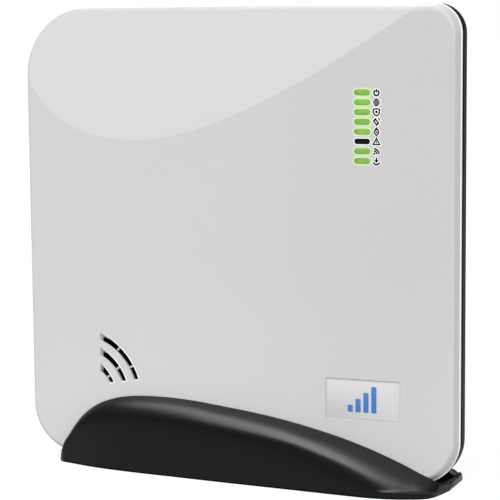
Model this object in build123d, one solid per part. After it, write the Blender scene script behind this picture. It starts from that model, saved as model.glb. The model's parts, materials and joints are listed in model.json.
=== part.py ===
from build123d import *
import math
import os

# Cellular radio hub: a thin square panel standing upright in a low, wave shaped desk stand.
# Millimetres. X to the right, Y away from the viewer, Z up. Origin: centre of the footprint, on the table.

# ---------------------------------------------------------------- driving dimensions
W = 200.0          # panel width
H = 200.0          # panel height
ZP = 3.0           # underside of the panel above the table
YF = -11.4         # flat front face of the panel
YB = 11.4          # back face of the panel
Y_RIM = -6.5       # parting plane between the front and the rear cover
Y_TAPER = 0.4      # the rear cover's side is straight up to here, then it tapers
FRONT_INSET = 2.2  # the front face is this much smaller than the rim, all round
BACK_INSET = 5.0   # the back face is this much smaller than the rim, all round
R_TL, R_TR, R_BR, R_BL = 29.6, 12.5, 19.4, 23.0   # rim corner radii
WALL = 2.0
GROOVE = 0.8       # shadow gap between the covers
CREASE_TILT = 0.05 # the area above the crease leans back by this slope
CREASE = [(-104, 186.0), (-96.6, 170.9), (-90.7, 162.3), (-84.9, 156.6), (-79.0, 152.5), (-73.1, 149.9),
          (-67.2, 148.1), (-61.3, 146.8), (-55.5, 146.0), (-49.7, 145.5), (-43.9, 145.5), (-38.1, 145.9),
          (-32.4, 146.7), (-21.0, 149.1), (-9.7, 152.7), (1.5, 156.9), (12.5, 161.7), (23.4, 166.8),
          (34.1, 172.3), (44.7, 178.2), (55.2, 184.5), (65.6, 190.8), (75.8, 197.2), (86, 204.0), (104, 216.5)]

LED_X, LED_Z0, LED_PITCH, LED_N = 58.7, 166.55, 4.03, 8
LED_W, LED_H = 6.8, 2.25
ICON_X = 64.85

ARC_X, ARC_Z = -74.35, 31.0                       # centre of the sounder's arc slots
ARCS = [(27.9, 30.15), (21.75, 24.05), (15.8, 17.9)]
ARC_LEFT = -64.2
RIBS = [(-55.3, 53.2, 0), (-49.1, 45.3, 0), (-55.5, 44.5, 1), (-60.2, 40.4, 2)]

BADGE = (42.3, 75.2, 29.5, 46.5)                  # x0, x1, z0, z1

TRAY = (-36.0, 44.0, 62.0, 128.0)                 # battery bay in the back
HINGE_Y, HINGE_Z = 10.0, 63.9
BAY_TABS = [(-41.5, 74.0), (-41.5, 118.0), (49.2, 64.5), (49.2, 122.0)]   # heat stakes beside the battery bay
POSTS = [(-76.0, 176.0), (84.0, 182.0), (-78.0, 44.0), (82.0, 44.0)]
STANDOFFS = [(-52.0, 73.0), (48.8, 72.0), (-52.0, 184.0), (72.0, 184.0)]
BOARD = (-58.0, 78.0, 66.0, 190.0)
YB0, YB1 = -5.0, -3.4                             # main board, front and back faces
SND_X, SND_Z, SND_R = -55.0, 49.0, 15.0
KEYS = [(-45.0, 162.0), (45.0, 162.0)]
BTN_X, BTN_Z = 60.5, 113.0
TMP_X, TMP_Z = 0.0, 150.0
ETH = (52.0, 68.5, 70.0, 84.0)
DC_X, DC_Z = 60.5, 95.5

SLOT_Y = 11.7      # half width of the stand's slot
Z_SOLE = 0.2       # underside of the stand, on its rubber feet
Z_FLOOR = 1.8
Z_REST = 2.8       # top of the ribs that the panel stands on
SLOT_X0, SLOT_X1 = -83.2, 91.2

# stand sections: x, y of the front foot edge, height at the slot's front wall, y of the back foot edge, height at
# the slot's back wall
STAND = [
    (-86.6, -9.2, 1.7, 9.2, 1.7),
    (-86.0, -11.0, 3.0, 11.0, 3.0),
    (-84.6, -12.4, 5.4, 12.4, 5.0),
    (-82.8, -13.4, 8.8, 13.4, 8.0),
    (-80.0, -14.2, 12.9, 14.2, 12.0),
    (-77.0, -14.9, 17.3, 14.9, 15.8),
    (-73.5, -15.9, 21.4, 15.9, 19.4),
    (-70.0, -16.8, 24.5, 16.8, 22.0),
    (-65.6, -17.8, 27.4, 17.8, 24.4),
    (-60.0, -18.7, 29.8, 18.7, 26.4),
    (-53.0, -19.7, 31.7, 19.7, 28.0),
    (-44.7, -20.5, 32.7, 20.5, 28.9),
    (-34.0, -21.2, 33.0, 21.3, 29.3),
    (-21.0, -22.0, 32.5, 22.4, 29.1),
    (-8.0, -22.9, 31.2, 23.6, 28.4),
    (6.0, -23.7, 29.6, 24.7, 27.4),
    (20.0, -24.4, 27.6, 25.6, 26.2),
    (34.0, -25.1, 24.9, 26.2, 24.7),
    (48.0, -25.9, 21.6, 26.5, 22.7),
    (58.0, -26.4, 18.7, 26.6, 20.6),
    (65.0, -26.6, 16.4, 26.6, 18.6),
    (71.0, -26.1, 14.2, 26.6, 16.0),
    (77.0, -24.9, 11.8, 26.6, 12.9),
    (82.5, -23.1, 9.4, 26.4, 9.3),
    (87.0, -21.1, 7.4, 25.6, 6.3),
    (90.2, -18.5, 5.9, 23.0, 4.6),
    (91.6, -15.6, 4.9, 21.0, 3.9),
    (92.6, -11.6, 4.0, 19.4, 3.4),
    (93.6, -7.0, 3.4, 18.2, 3.1),
    (94.3, -3.0, 3.0, 16.6, 2.9),
]
# height of the wave's soft shoulder, as a share of its section's height: it runs down to the foot at the right
SHOULDER = [(-90.0, 0.86), (30.0, 0.86), (45.0, 0.77), (57.0, 0.68), (69.0, 0.52), (76.0, 0.42), (84.0, 0.34), (96.0, 0.34)]

os.makedirs("parts", exist_ok=True)
DONE = {}


# ---------------------------------------------------------------- helpers
def at(y):
    """A plane facing the viewer at depth y: sketch x is X, sketch y is Z."""
    return Plane(origin=(0, y, 0), x_dir=(1, 0, 0), z_dir=(0, -1, 0))


def slab(sk, y0, y1):
    return extrude(at(y1) * sk, y1 - y0)


def box(x0, x1, y0, y1, z0, z1):
    return Pos((x0 + x1) / 2, (y0 + y1) / 2, (z0 + z1) / 2) * Box(x1 - x0, y1 - y0, z1 - z0)


def cyl_y(x, z, r, y0, y1):
    return slab(Pos(x, z) * Circle(r), y0, y1)


def cyl_x(y, z, r, x0, x1):
    return Pos((x0 + x1) / 2, y, z) * Rot(0, 90, 0) * Cylinder(r, x1 - x0)


def cyl_z(x, y, r, z0, z1):
    return Pos(x, y, (z0 + z1) / 2) * Cylinder(r, z1 - z0)


def outline(i):
    """The panel's outline, inset by i, with four different corner radii."""
    s = Pos(0, ZP + H / 2) * Rectangle(W - 2 * i, H - 2 * i)
    hx, z0, z1 = W / 2 - i, ZP + i, ZP + H - i
    for x, z, r in ((-hx, z1, R_TL), (hx, z1, R_TR), (hx, z0, R_BR), (-hx, z0, R_BL)):
        v = s.vertices().sort_by_distance((x, z, 0))[0]
        s = fillet(v, max(r - i, 1.0))
    return s


def pill(x, z, w, h):
    return Pos(x, z) * SlotOverall(w, h)


def rrect(x0, x1, z0, z1, r):
    return Pos((x0 + x1) / 2, (z0 + z1) / 2) * RectangleRounded(x1 - x0, z1 - z0, r)


def save(name, shape):
    solids = shape.solids()
    shape = solids[0] if len(solids) == 1 else Compound(children=list(solids))
    export_step(shape, "parts/" + name + ".step")
    DONE[name] = shape


def prism_above_crease(dy):
    """Everything in front of the leaning upper area: the crease line carried up and back at the tilt."""
    pts = [(x, z) for x, z in CREASE]
    curve = Spline(*pts)
    edge = curve @ 1
    wire = curve + Polyline(pts[-1], (104, 330), (-104, 330), pts[0])
    face = at(YF + dy) * make_face(wire)
    depth = 8.0
    up = extrude(face, amount=math.hypot(depth, depth / CREASE_TILT), dir=(0, depth, depth / CREASE_TILT))
    front = extrude(face, amount=3.0, dir=(0, -1, 0))
    return up + front


# ---------------------------------------------------------------- front cover
def front_cover():
    outer = loft([at(Y_RIM) * outline(0), at(YF) * outline(FRONT_INSET)], ruled=True)
    edge = outer.edges().filter_by(lambda e: abs(e.center().Y - YF) < 1e-3)
    outer = fillet(edge, 1.7)
    outer -= prism_above_crease(0.0)
    hollow = loft([at(Y_RIM + 0.001) * outline(WALL), at(YF + WALL) * outline(FRONT_INSET + WALL)], ruled=True)
    hollow -= prism_above_crease(WALL)
    shell = outer - hollow
    for x, z in POSTS:
        shell += cyl_y(x, z, 3.2, YF + (2.7 if z > 170 and x < 0 else 1.4), 3.0)
        shell -= cyl_y(x, z, 1.3, -6.6, 3.2)
    # light windows
    for i in range(LED_N):
        shell -= slab(pill(LED_X, LED_Z0 - i * LED_PITCH, LED_W + 0.12, LED_H + 0.12), YF - 1, YF + 3)
    # sounder slots: arcs cut off by a vertical line at the left and a slightly rising one below
    keep = make_face(Polyline((ARC_LEFT, 36.6), (-40, 40.7), (-40, 70), (ARC_LEFT, 70), close=True))
    for k, (r0, r1) in enumerate(ARCS):
        ring = Pos(ARC_X, ARC_Z) * (Circle(r1) - Circle(r0))
        ring = ring & keep
        for x, z, which in RIBS:
            if which == k:
                a = math.degrees(math.atan2(z - ARC_Z, x - ARC_X))
                ring -= Pos(x, z) * Rot(0, 0, a) * Rectangle(4.0, 1.1)
        shell -= slab(ring, YF - 1, YF + 3)
    # badge recess
    shell -= slab(rrect(*BADGE, 0.4), YF - 1, YF + 0.7)
    return shell


# ---------------------------------------------------------------- rear cover
def rear_cover():
    lip = slab(outline(GROOVE), Y_RIM, Y_RIM + 0.9)
    straight = slab(outline(0.2), Y_RIM + 0.9, Y_TAPER)
    back = loft([at(Y_TAPER) * outline(0.2), at(YB) * outline(BACK_INSET)], ruled=True)
    edge = back.edges().filter_by(lambda e: abs(e.center().Y - YB) < 1e-3)
    back = fillet(edge, 2.4)
    outer = lip + straight + back
    hollow = slab(outline(WALL + 0.6), Y_RIM - 0.1, Y_TAPER) + loft(
        [at(Y_TAPER) * outline(WALL + 0.6), at(YB - WALL) * outline(BACK_INSET + WALL)], ruled=True)
    shell = outer - hollow
    x0, x1, z0, z1 = TRAY
    # opening over the battery bay, with a finger notch above it
    shell -= box(x0, x1, 6.0, YB + 1, z0, z1)
    shell -= box(-8, 16, 9.2, YB + 1, z1 - 0.5, z1 + 1.2)
    # heat stakes that hold the battery bay's four tabs
    for x, z in BAY_TABS:
        shell += cyl_y(x, z, 1.2, 6.9, YB - 1.0) + cyl_y(x, z, 2.1, 6.2, 7.0)
    for x, z in POSTS:
        shell += cyl_y(x, z, 4.4, 3.0, YB - 1.0)
        shell -= cyl_y(x, z, 1.7, 2.9, 6.0)
        shell -= cyl_y(x, z, 3.1, 5.0, YB + 1)
    for x, z in STANDOFFS:
        shell += cyl_y(x, z, 2.4, YB1, YB - 1.0)
        shell -= cyl_y(x, z, 1.1, YB1 - 0.1, 5.0)
    # wall mounting keyholes
    for x, z in KEYS:
        shell -= cyl_y(x, z, 4.3, 8, YB + 1)
        shell -= slab(Pos(x, z + 5) * Rectangle(4.6, 10), 8, YB + 1)
        shell -= cyl_y(x, z + 10, 2.3, 8, YB + 1)
    # vents, top and bottom
    for i in range(13):
        x = -36 + i * 6
        shell -= slab(Pos(x, 184) * SlotOverall(14, 2.0, rotation=90), 8, YB + 1)
        shell -= slab(Pos(x + 6, 46) * SlotOverall(12, 2.0, rotation=90), 8, YB + 1)
    # connector openings
    shell -= box(ETH[0] - 0.25, ETH[1] + 0.25, 8, YB + 1, ETH[2] - 0.25, ETH[3] + 0.25)
    shell -= cyl_y(DC_X, DC_Z, 5.0, 8, YB + 1)
    # button and tamper plunger holes
    shell -= cyl_y(BTN_X, BTN_Z, 3.6, 8, YB + 1)
    shell -= cyl_y(TMP_X, TMP_Z, 2.1, 8, YB + 1)
    # antenna pegs
    for x, z in ((-80, 78), (-80, 140), (-30, 195.5), (30, 195.5), (87, 66), (87, 90), (87, 116), (87, 140)):
        shell += cyl_y(x, z, 1.6, 3.0, YB - 1.0)
    return shell


# ---------------------------------------------------------------- battery bay, a separate tub behind the rear cover
def battery_bay():
    x0, x1, z0, z1 = TRAY
    tub = box(x0 - 1.6, x1 + 1.6, -1.6, YB - WALL, z0 - 1.6, z1 + 1.6)
    tub -= box(x0, x1, 0.0, YB + 1, z0, z1)
    tub -= box(-8, 16, 9.2, YB + 1, z1 - 0.5, z1 + 1.2)
    # hinge ears at the bottom
    for xa in (x0 + 3.0, x0 + 16.8, x1 - 18.6, x1 - 4.8):
        tub += box(xa, xa + 1.8, 8.4, YB - WALL, z0 - 0.5, HINGE_Z + 1.3) + box(xa, xa + 1.8, 9.0, 11.2, z0 + 0.05, HINGE_Z + 1.3)
    for xa in (x0 + 2.9, x1 - 18.7):
        tub -= cyl_x(HINGE_Y, HINGE_Z, 0.9, xa, xa + 15.8)
    # ledges that the door rests on
    tub += box(x0, x0 + 1.4, 0, 9.1, z0, z0 + 66) + box(x1 - 1.4, x1, 0, 9.1, z0, z0 + 66)
    # four tabs with holes for the heat stakes
    for x, z in BAY_TABS:
        tub += box(min(x, x0 - 1.0) - (3.0 if x < x0 else 0), max(x, x1 + 1.0) + (3.0 if x > x1 else 0), 7.1, YB - WALL, z - 3.0, z + 3.0) \
            - box(x0 - 1.0, x1 + 1.0, 0.0, YB + 1, z - 4, z + 4)
        tub -= cyl_y(x, z, 1.25, 6.0, YB)
    return tub


# ---------------------------------------------------------------- stand
def stand_section(x, yf, h, yb, hb):
    pl = Plane(origin=(x, 0, 0), x_dir=(0, 1, 0), z_dir=(1, 0, 0))
    z0 = Z_SOLE
    ya, yz = -SLOT_Y, SLOT_Y
    if yf > -12.2:
        ya, yz = yf + 0.8, yb - 0.8

    i = max(k for k in range(len(SHOULDER) - 1) if SHOULDER[k][0] <= x)
    (xa, ga), (xb, gb) = SHOULDER[i], SHOULDER[i + 1]
    g = ga + (gb - ga) * (x - xa) / (xb - xa)

    def side(y_foot, y_in, top):
        d = y_in - y_foot
        t = max(top - z0, 1.0)
        return [(y_foot, z0), (y_foot + 0.03 * d, z0 + 0.49 * g * t), (y_foot + 0.12 * d, z0 + 0.86 * g * t),
                (y_foot + 0.34 * d, z0 + (g + 0.3 * (1 - g)) * t), (y_in, z0 + t)]

    front = side(yf, ya, h)
    rear = side(yb, yz, hb)[::-1]
    wire = Spline(*front) + Line(front[-1], rear[0]) + Spline(*rear) + Line(rear[-1], front[0])
    return pl * make_face(wire)


def desk_stand():
    body = loft([stand_section(*s) for s in STAND], ruled=True)
    slot = make_face(Polyline((SLOT_X0, -SLOT_Y), (90.2, -SLOT_Y), (92.3, -8.5), (93.1, 9.0), (91.2, SLOT_Y), (SLOT_X0, SLOT_Y), close=True))
    body -= Pos(0, 0, Z_FLOOR) * extrude(slot, 58)
    body -= Pos(0, 0, 0.1) * slab(outline(-0.3), -SLOT_Y, SLOT_Y)
    for x in (-62, -24, 16, 54):
        body += box(x - 1.2, x + 1.2, -SLOT_Y - 0.2, SLOT_Y + 0.2, Z_FLOOR - 0.4, Z_REST)
    # hollow undersides with room for the ballast bars
    def core(sign):
        faces = []
        for s in STAND:
            if -56 < s[0] < 56:
                foot, h = (s[1], s[2]) if sign < 0 else (s[3], s[4])
                pl = Plane(origin=(s[0], 0, 0), x_dir=(0, 1, 0), z_dir=(1, 0, 0))
                a, b = foot - sign * 2.6, sign * (SLOT_Y + 2.0)
                faces.append(pl * make_face(Polyline((a, Z_SOLE - 0.5), (a, 0.55 * h), (b, h - 5.2), (b, Z_SOLE - 0.5), close=True)))
        return loft(faces, ruled=True)
    body -= core(-1)
    body -= core(1)
    for x, y in FEET:
        body -= cyl_z(x, y, 4.5, Z_SOLE - 0.5, 1.1)
    for s in (-1, 1):
        for x in (-30, 10):
            body += cyl_z(x, s * 16.6, 2.4, 17.0, 25.0)
            body -= cyl_z(x, s * 16.6, 1.5, 15.0, 23.0)
    return body


FEET = [(-70.0, -8.5), (-70.0, 8.5), (74.0, -17.0), (74.0, 19.0)]

save("desk_stand", desk_stand())
save("stand_feet", Compound(children=[cyl_z(x, y, 4.4, 0.0, 1.1) for x, y in FEET]))

# steel ballast bars inside the two waves, each on two screws
bars, bscrews = [], []
for s in (-1, 1):
    y = s * 16.6
    b = box(-36, 16, y - 1.7, y + 1.7, 6.0, 16.5)
    for x in (-30, 10):
        b -= cyl_z(x, y, 1.6, 5, 20)
        sc = cyl_z(x, y, 1.45, 6.0, 22.5) + cyl_z(x, y, 2.0, 4.4, 6.0)
        sc -= Pos(x, y, 4.8) * Box(2.2, 0.7, 0.9)
        sc -= Pos(x, y, 4.8) * Box(0.7, 2.2, 0.9)
        bscrews.append(sc)
    bars.append(b)
save("ballast_bars", Compound(children=bars))
save("ballast_screws", Compound(children=bscrews))

# ---------------------------------------------------------------- covers
save("front_cover", front_cover())
save("rear_cover", rear_cover())
save("battery_bay", battery_bay())

screws = []
for x, z in POSTS:
    sc = cyl_y(x, z, 1.28, -5.5, 5.0) + cyl_y(x, z, 2.8, 5.0, 7.2)
    sc -= Pos(x, 7.0, z) * Box(3.2, 1.2, 0.8)
    sc -= Pos(x, 7.0, z) * Box(0.8, 1.2, 3.2)
    screws.append(sc)
save("case_screws", Compound(children=screws))

# ---------------------------------------------------------------- badge plate with a generic rising-bars mark
save("badge_plate", slab(rrect(BADGE[0] + 0.15, BADGE[1] - 0.15, BADGE[2] + 0.15, BADGE[3] - 0.15, 0.3), YF + 0.3, YF + 0.7))
marks = []
for i in range(4):
    x0 = 52.0 + i * 3.5
    marks.append(slab(rrect(x0, x0 + 2.3, 32.4, 32.4 + 3.0 + i * 2.75, 0.5), YF + 0.24, YF + 0.3))
save("badge_mark", Compound(children=marks))


# ---------------------------------------------------------------- printed pictograms beside the lights
def ring(r1, r0):
    return Circle(r1) - Circle(r0)


def arc_band(r, w, a0, a1):
    pts = [(math.cos(math.radians(a0 + (a1 - a0) * t / 6)) * 5, math.sin(math.radians(a0 + (a1 - a0) * t / 6)) * 5) for t in range(7)]
    return (Circle(r + w / 2) - Circle(r - w / 2)) & make_face(Polyline((0, 0), *pts, close=True))


def glyphs():
    power = arc_band(1.05, 0.36, 118, 422) + Pos(0, 0.85) * Rectangle(0.36, 1.3)
    globe = ring(1.35, 1.08) + ((Ellipse(0.62, 1.2) - Ellipse(0.42, 1.0)) + Rectangle(2.4, 0.22) + Rectangle(0.22, 2.4))
    sh = make_face(Polyline((-1.3, 1.1), (0, 1.5), (1.3, 1.1), (1.2, -0.3), (0, -1.5), (-1.2, -0.3), close=True))
    shi = make_face(Polyline((-0.98, 0.86), (0, 1.16), (0.98, 0.86), (0.9, -0.18), (0, -1.12), (-0.9, -0.18), close=True))
    shield = (sh - shi) + Circle(0.4)
    phone = Pos(-0.15, -0.05) * Rot(0, 0, 36) * (Rectangle(1.5, 2.4) - Rectangle(0.8, 1.5))
    phone += Pos(-0.15, -0.05) * arc_band(1.5, 0.34, 22, 64)
    dr = make_face(Polyline((0, 1.5), (0.95, 0.2), (0.8, -0.9), (0, -1.35), (-0.8, -0.9), (-0.95, 0.2), close=True))
    dri = make_face(Polyline((0, 0.98), (0.6, 0.1), (0.5, -0.68), (0, -0.98), (-0.5, -0.68), (-0.6, 0.1), close=True))
    drop = (dr - dri) + Pos(0, -0.25) * Circle(0.3)
    tr = make_face(Polyline((0, 1.35), (1.5, -1.25), (-1.5, -1.25), close=True))
    tri = make_face(Polyline((0, 0.85), (1.02, -0.97), (-1.02, -0.97), close=True))
    warn = (tr - tri) + Pos(0, -0.15) * Rectangle(0.24, 0.8)
    wav = Pos(-1.0, -1.0) * (arc_band(1.2, 0.36, 5, 85) + arc_band(2.1, 0.36, 5, 85) + Pos(0.35, 0.35) * Circle(0.34))
    down = Pos(0, 0.75) * Rectangle(0.4, 1.3) + make_face(Polyline((-0.75, 0.25), (0.75, 0.25), (0, -0.6), close=True))
    down += arc_band(1.35, 0.4, 200, 340)
    return [power, globe, shield, phone, drop, warn, wav, down]


icons = []
for i, g in enumerate(glyphs()):
    icons += list(slab(Pos(ICON_X, LED_Z0 - i * LED_PITCH) * g, YF - 0.05, YF).solids())
save("status_icons", Compound(children=icons))

# ---------------------------------------------------------------- status lights
guide = box(LED_X - 4.0, LED_X + 4.0, -8.2, -7.2, LED_Z0 - 7 * LED_PITCH - 2.0, LED_Z0 + 2.0)
for i in range(LED_N):
    guide += slab(pill(LED_X, LED_Z0 - i * LED_PITCH, LED_W, LED_H), YF + 0.04, -6.0)
save("light_guide", guide)
z_lo, z_hi = LED_Z0 - 7 * LED_PITCH - 4.0, LED_Z0 + 4.0
save("light_guide_frame", box(LED_X - 6.0, LED_X + 6.0, YF + WALL, YB0, z_lo, z_hi)
     - box(LED_X - 4.4, LED_X + 4.4, YF, YB0 + 1, z_lo + 1.6, z_hi - 1.6))
save("status_leds", Compound(children=[box(LED_X - 0.8, LED_X + 0.8, YB0 - 0.7, YB0, LED_Z0 - i * LED_PITCH - 0.4, LED_Z0 - i * LED_PITCH + 0.4) for i in range(LED_N)]))

# ---------------------------------------------------------------- main board and what is on it
board = slab(rrect(*BOARD, 2.0), YB0, YB1)
for x, z in STANDOFFS:
    board -= cyl_y(x, z, 1.5, YB0 - 1, YB1 + 1)
save("main_board", board)
bs = []
for x, z in STANDOFFS:
    s = cyl_y(x, z, 1.08, YB0, 3.0) + cyl_y(x, z, 2.2, YB0 - 1.4, YB0)
    s -= Pos(x, YB0 - 1.2, z) * Box(2.4, 0.9, 0.6)
    s -= Pos(x, YB0 - 1.2, z) * Box(0.6, 0.9, 2.4)
    bs.append(s)
save("board_screws", Compound(children=bs))
save("radio_shield_can", slab(rrect(-50, -14, 133, 158, 1.0), YB1, -0.4) - slab(rrect(-49.7, -14.3, 133.3, 157.7, 0.8), YB1 - 1, -0.7))
save("processor_chip", slab(rrect(-38, -22, 167, 183, 0.5), YB1, -2.0))
hs = slab(rrect(-42, -18, 164, 186, 0.8), -2.0, -0.8)
for i in range(6):
    hs += box(-41 + i * 4.1, -40 + i * 4.1, -0.8, 2.2, 165, 185)
save("processor_heat_sink", hs)
save("module_socket", box(14, 44, YB1, 1.2, 132.2, 136) - box(15, 43, -1.6, 0.0, 134.4, 137))
save("cellular_module", box(15.5, 42.5, -1.4, -0.4, 134.6, 182))
save("cellular_module_shield", slab(rrect(16.5, 41.5, 139, 180, 0.8), -0.4, 2.0) - slab(rrect(16.8, 41.2, 139.3, 179.7, 0.6), -1, 1.7))
save("module_supports", Compound(children=[cyl_y(x, 178, 1.4, YB1, -1.4) for x in (19, 39)]))
save("network_transformer", slab(rrect(50, 66, 120.5, 130, 0.4), YB1, 1.6))
save("smoothing_capacitors", Compound(children=[cyl_y(73, z, 3.3, YB1, 6.0) for z in (75.5, 83.5)]))
save("power_inductor", slab(rrect(66, 74, 146, 154, 1.0), YB1, 1.2))

# ---------------------------------------------------------------- aerials and their coaxial leads
def aerial(x0, x1, z0, z1):
    return slab(rrect(x0, x1, z0, z1, 1.5), 2.0, 3.0)


save("main_cellular_aerial", aerial(-94, -66, 68, 150))
save("second_cellular_aerial", aerial(-44, 44, 192.2, 198.6))
save("wifi_aerials", Compound(children=[aerial(82, 92, 58, 100), aerial(82, 92, 108, 150)]))


def lead(*pts):
    path = FilletPolyline(*pts, radius=3.0)
    start = Plane(origin=pts[0], z_dir=Vector(*pts[1]) - Vector(*pts[0]))
    return sweep(start * Circle(0.6), path=path)


save("aerial_leads", Compound(children=[
    lead((-72, 3.6, 122), (-50, 3.6, 122), (-50, -2.2, 122)),
    lead((0, 3.6, 197), (0, 3.6, 182), (0, -2.2, 182)),
    lead((90, 3.6, 95), (75, 3.6, 95), (75, -2.2, 95)),
    lead((90, 3.6, 126), (72, 3.6, 126), (72, -2.2, 126)),
]))
save("aerial_connectors", Compound(children=[cyl_y(x, z, 1.4, YB1, -2.2) for x, z in ((-50, 122), (0, 182), (75, 95), (72, 126))]))

# ---------------------------------------------------------------- sounder
save("sounder", cyl_y(SND_X, SND_Z, SND_R, -8.0, 3.0) - cyl_y(SND_X, SND_Z, 3.0, -9.0, -5.0))
save("sounder_gasket", cyl_y(SND_X, SND_Z, SND_R, YF + WALL, -8.0) - cyl_y(SND_X, SND_Z, 13.6, -10, -7))
save("sounder_dust_mesh", cyl_y(SND_X, SND_Z, 13.5, YF + WALL, YF + WALL + 0.3))
ret = cyl_y(SND_X, SND_Z, 16.3, 3.0, 4.4) - cyl_y(SND_X, SND_Z, 11.0, 2, 5)
for a in (135, 225, 315):
    ca, sa = math.cos(math.radians(a)), math.sin(math.radians(a))
    leg = Pos(SND_X + 16.0 * ca, 0, SND_Z + 16.0 * sa) * Rot(0, -a, 0) * Box(1.2, 1.0, 5.0)
    y0 = YF + WALL
    leg = Pos(SND_X + 16.0 * ca, (y0 + 4.4) / 2, SND_Z + 16.0 * sa) * Rot(0, -a, 0) * Box(1.2, 4.4 - y0, 5.0)
    ret += leg
save("sounder_retainer", ret)

# ---------------------------------------------------------------- sockets
ex0, ex1, ez0, ez1 = ETH
eth = box(ex0, ex1, YB1, YB - 0.3, ez0, ez1)
eth -= box(ex0 + 2.3, ex1 - 2.3, -1.6, YB + 1, ez0 + 3.6, ez0 + 11.0)
eth -= box(ex0 + 5.2, ex1 - 5.2, 1.0, YB + 1, ez0 + 1.8, ez0 + 3.8)
save("network_socket", eth)
save("network_contacts", Compound(children=[box(ex0 + 4.44 + i * 1.02, ex0 + 4.92 + i * 1.02, -1.6, 6.0, ez0 + 10.2, ez0 + 11.0) for i in range(8)]))
dc = box(DC_X - 5.5, DC_X + 5.5, YB1, 9.2, DC_Z - 5.5, DC_Z + 5.5) + cyl_y(DC_X, DC_Z, 4.8, 9.0, YB - 0.3)
dc -= cyl_y(DC_X, DC_Z, 2.85, 1.6, YB + 1)
save("power_inlet", dc)
save("power_inlet_pin", cyl_y(DC_X, DC_Z, 1.05, 1.6, 9.8))

# ---------------------------------------------------------------- battery bay
x0, x1, z0, z1 = TRAY
bat = fillet(box(x0 + 1.9, x1 - 1.9, 0.2, 8.4, z0 + 2.2, z0 + 44).edges().filter_by(Axis.Z), 1.5)
save("battery_pack", bat)
save("battery_plug", box(-32, -26, 0.0, 3.2, z0 + 47, z0 + 53))
save("battery_leads", Compound(children=[cyl_z(x, 1.7, 0.6, z0 + 44, z0 + 47) for x in (-30.2, -27.8)]))
save("sim_socket", box(26, 42, 0.0, 2.0, 110, 124) - box(25, 41, 0.6, 1.6, 110.9, 123.1))
sim = slab(make_face(Polyline((23.6, 111), (38.6, 111), (38.6, 121.2), (36.8, 123), (23.6, 123), close=True)), 0.72, 1.48)
save("sim_card", sim)

door = box(x0 + 0.3, x1 - 0.3, 9.4, YB, z0 + 4.0, z1 - 0.3)
door += box(-7.7, 15.7, 9.4, YB, z1 - 0.8, z1 + 0.9)
for xa in (x0 + 5.1, x1 - 16.5):
    xb = xa + 11.4
    door += cyl_x(HINGE_Y, HINGE_Z, 1.35, xa, xb)
    door += box(xa, xb, 9.4, YB, HINGE_Z, z0 + 4.5)
    door += cyl_x(HINGE_Y, HINGE_Z, 0.8, xa - 1.8, xb + 1.8)
for i in range(5):
    door -= box(-4, 12, YB - 0.5, YB + 1, z1 - 6.0 - i * 1.8, z1 - 5.2 - i * 1.8)
save("battery_door", door)

# ---------------------------------------------------------------- pairing button and tamper plunger
save("pairing_switch", box(BTN_X - 3, BTN_X + 3, YB1, 0.2, BTN_Z - 3, BTN_Z + 3) + cyl_y(BTN_X, BTN_Z, 1.7, 0.2, 1.0))
btn = cyl_y(BTN_X, BTN_Z, 3.5, 8.0, YB + 0.5) + cyl_y(BTN_X, BTN_Z, 4.7, 7.8, 9.2) + cyl_y(BTN_X, BTN_Z, 1.4, 2.0, 8.0)
btn -= Pos(BTN_X, YB + 3.6, BTN_Z) * Sphere(3.8)
save("pairing_button", btn)
save("tamper_switch", box(TMP_X - 4, TMP_X + 4, YB1, 0.6, TMP_Z - 3, TMP_Z + 3) - cyl_y(TMP_X, TMP_Z, 1.2, -2.6, 1))
plg = cyl_y(TMP_X, TMP_Z, 2.0, 7.4, YB + 2.2) + cyl_y(TMP_X, TMP_Z, 3.3, 7.4, 9.2) + cyl_y(TMP_X, TMP_Z, 1.0, 1.2, 7.4)
save("tamper_plunger", fillet(plg.edges().sort_by(Axis.Y)[-1], 0.8))

# ---------------------------------------------------------------- blank rating label on the back
save("rear_label", slab(rrect(-88, -48, 84, 116, 1.5), YB, YB + 0.1))

print(len(DONE), "nodes")
bb = Compound(children=list(DONE.values())).bounding_box()
print("box", bb.min, bb.max)
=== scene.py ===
import json
import math

import bmesh
import bpy
from mathutils import Matrix, Vector
from mathutils.geometry import delaunay_2d_cdt


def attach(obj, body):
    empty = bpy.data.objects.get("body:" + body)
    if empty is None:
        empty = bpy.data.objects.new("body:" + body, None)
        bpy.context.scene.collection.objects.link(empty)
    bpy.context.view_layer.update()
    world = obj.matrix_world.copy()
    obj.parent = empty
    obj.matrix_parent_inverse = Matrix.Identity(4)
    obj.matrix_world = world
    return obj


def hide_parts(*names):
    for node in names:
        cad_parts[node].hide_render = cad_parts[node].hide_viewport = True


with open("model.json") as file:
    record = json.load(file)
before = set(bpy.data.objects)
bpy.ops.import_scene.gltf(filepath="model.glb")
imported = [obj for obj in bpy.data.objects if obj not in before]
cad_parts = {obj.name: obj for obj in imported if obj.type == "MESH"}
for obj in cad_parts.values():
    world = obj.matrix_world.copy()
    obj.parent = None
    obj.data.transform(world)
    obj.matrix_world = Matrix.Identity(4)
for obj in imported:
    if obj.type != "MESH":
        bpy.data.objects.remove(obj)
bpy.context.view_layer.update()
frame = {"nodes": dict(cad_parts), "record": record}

MM = 0.001
scene = bpy.context.scene

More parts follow.
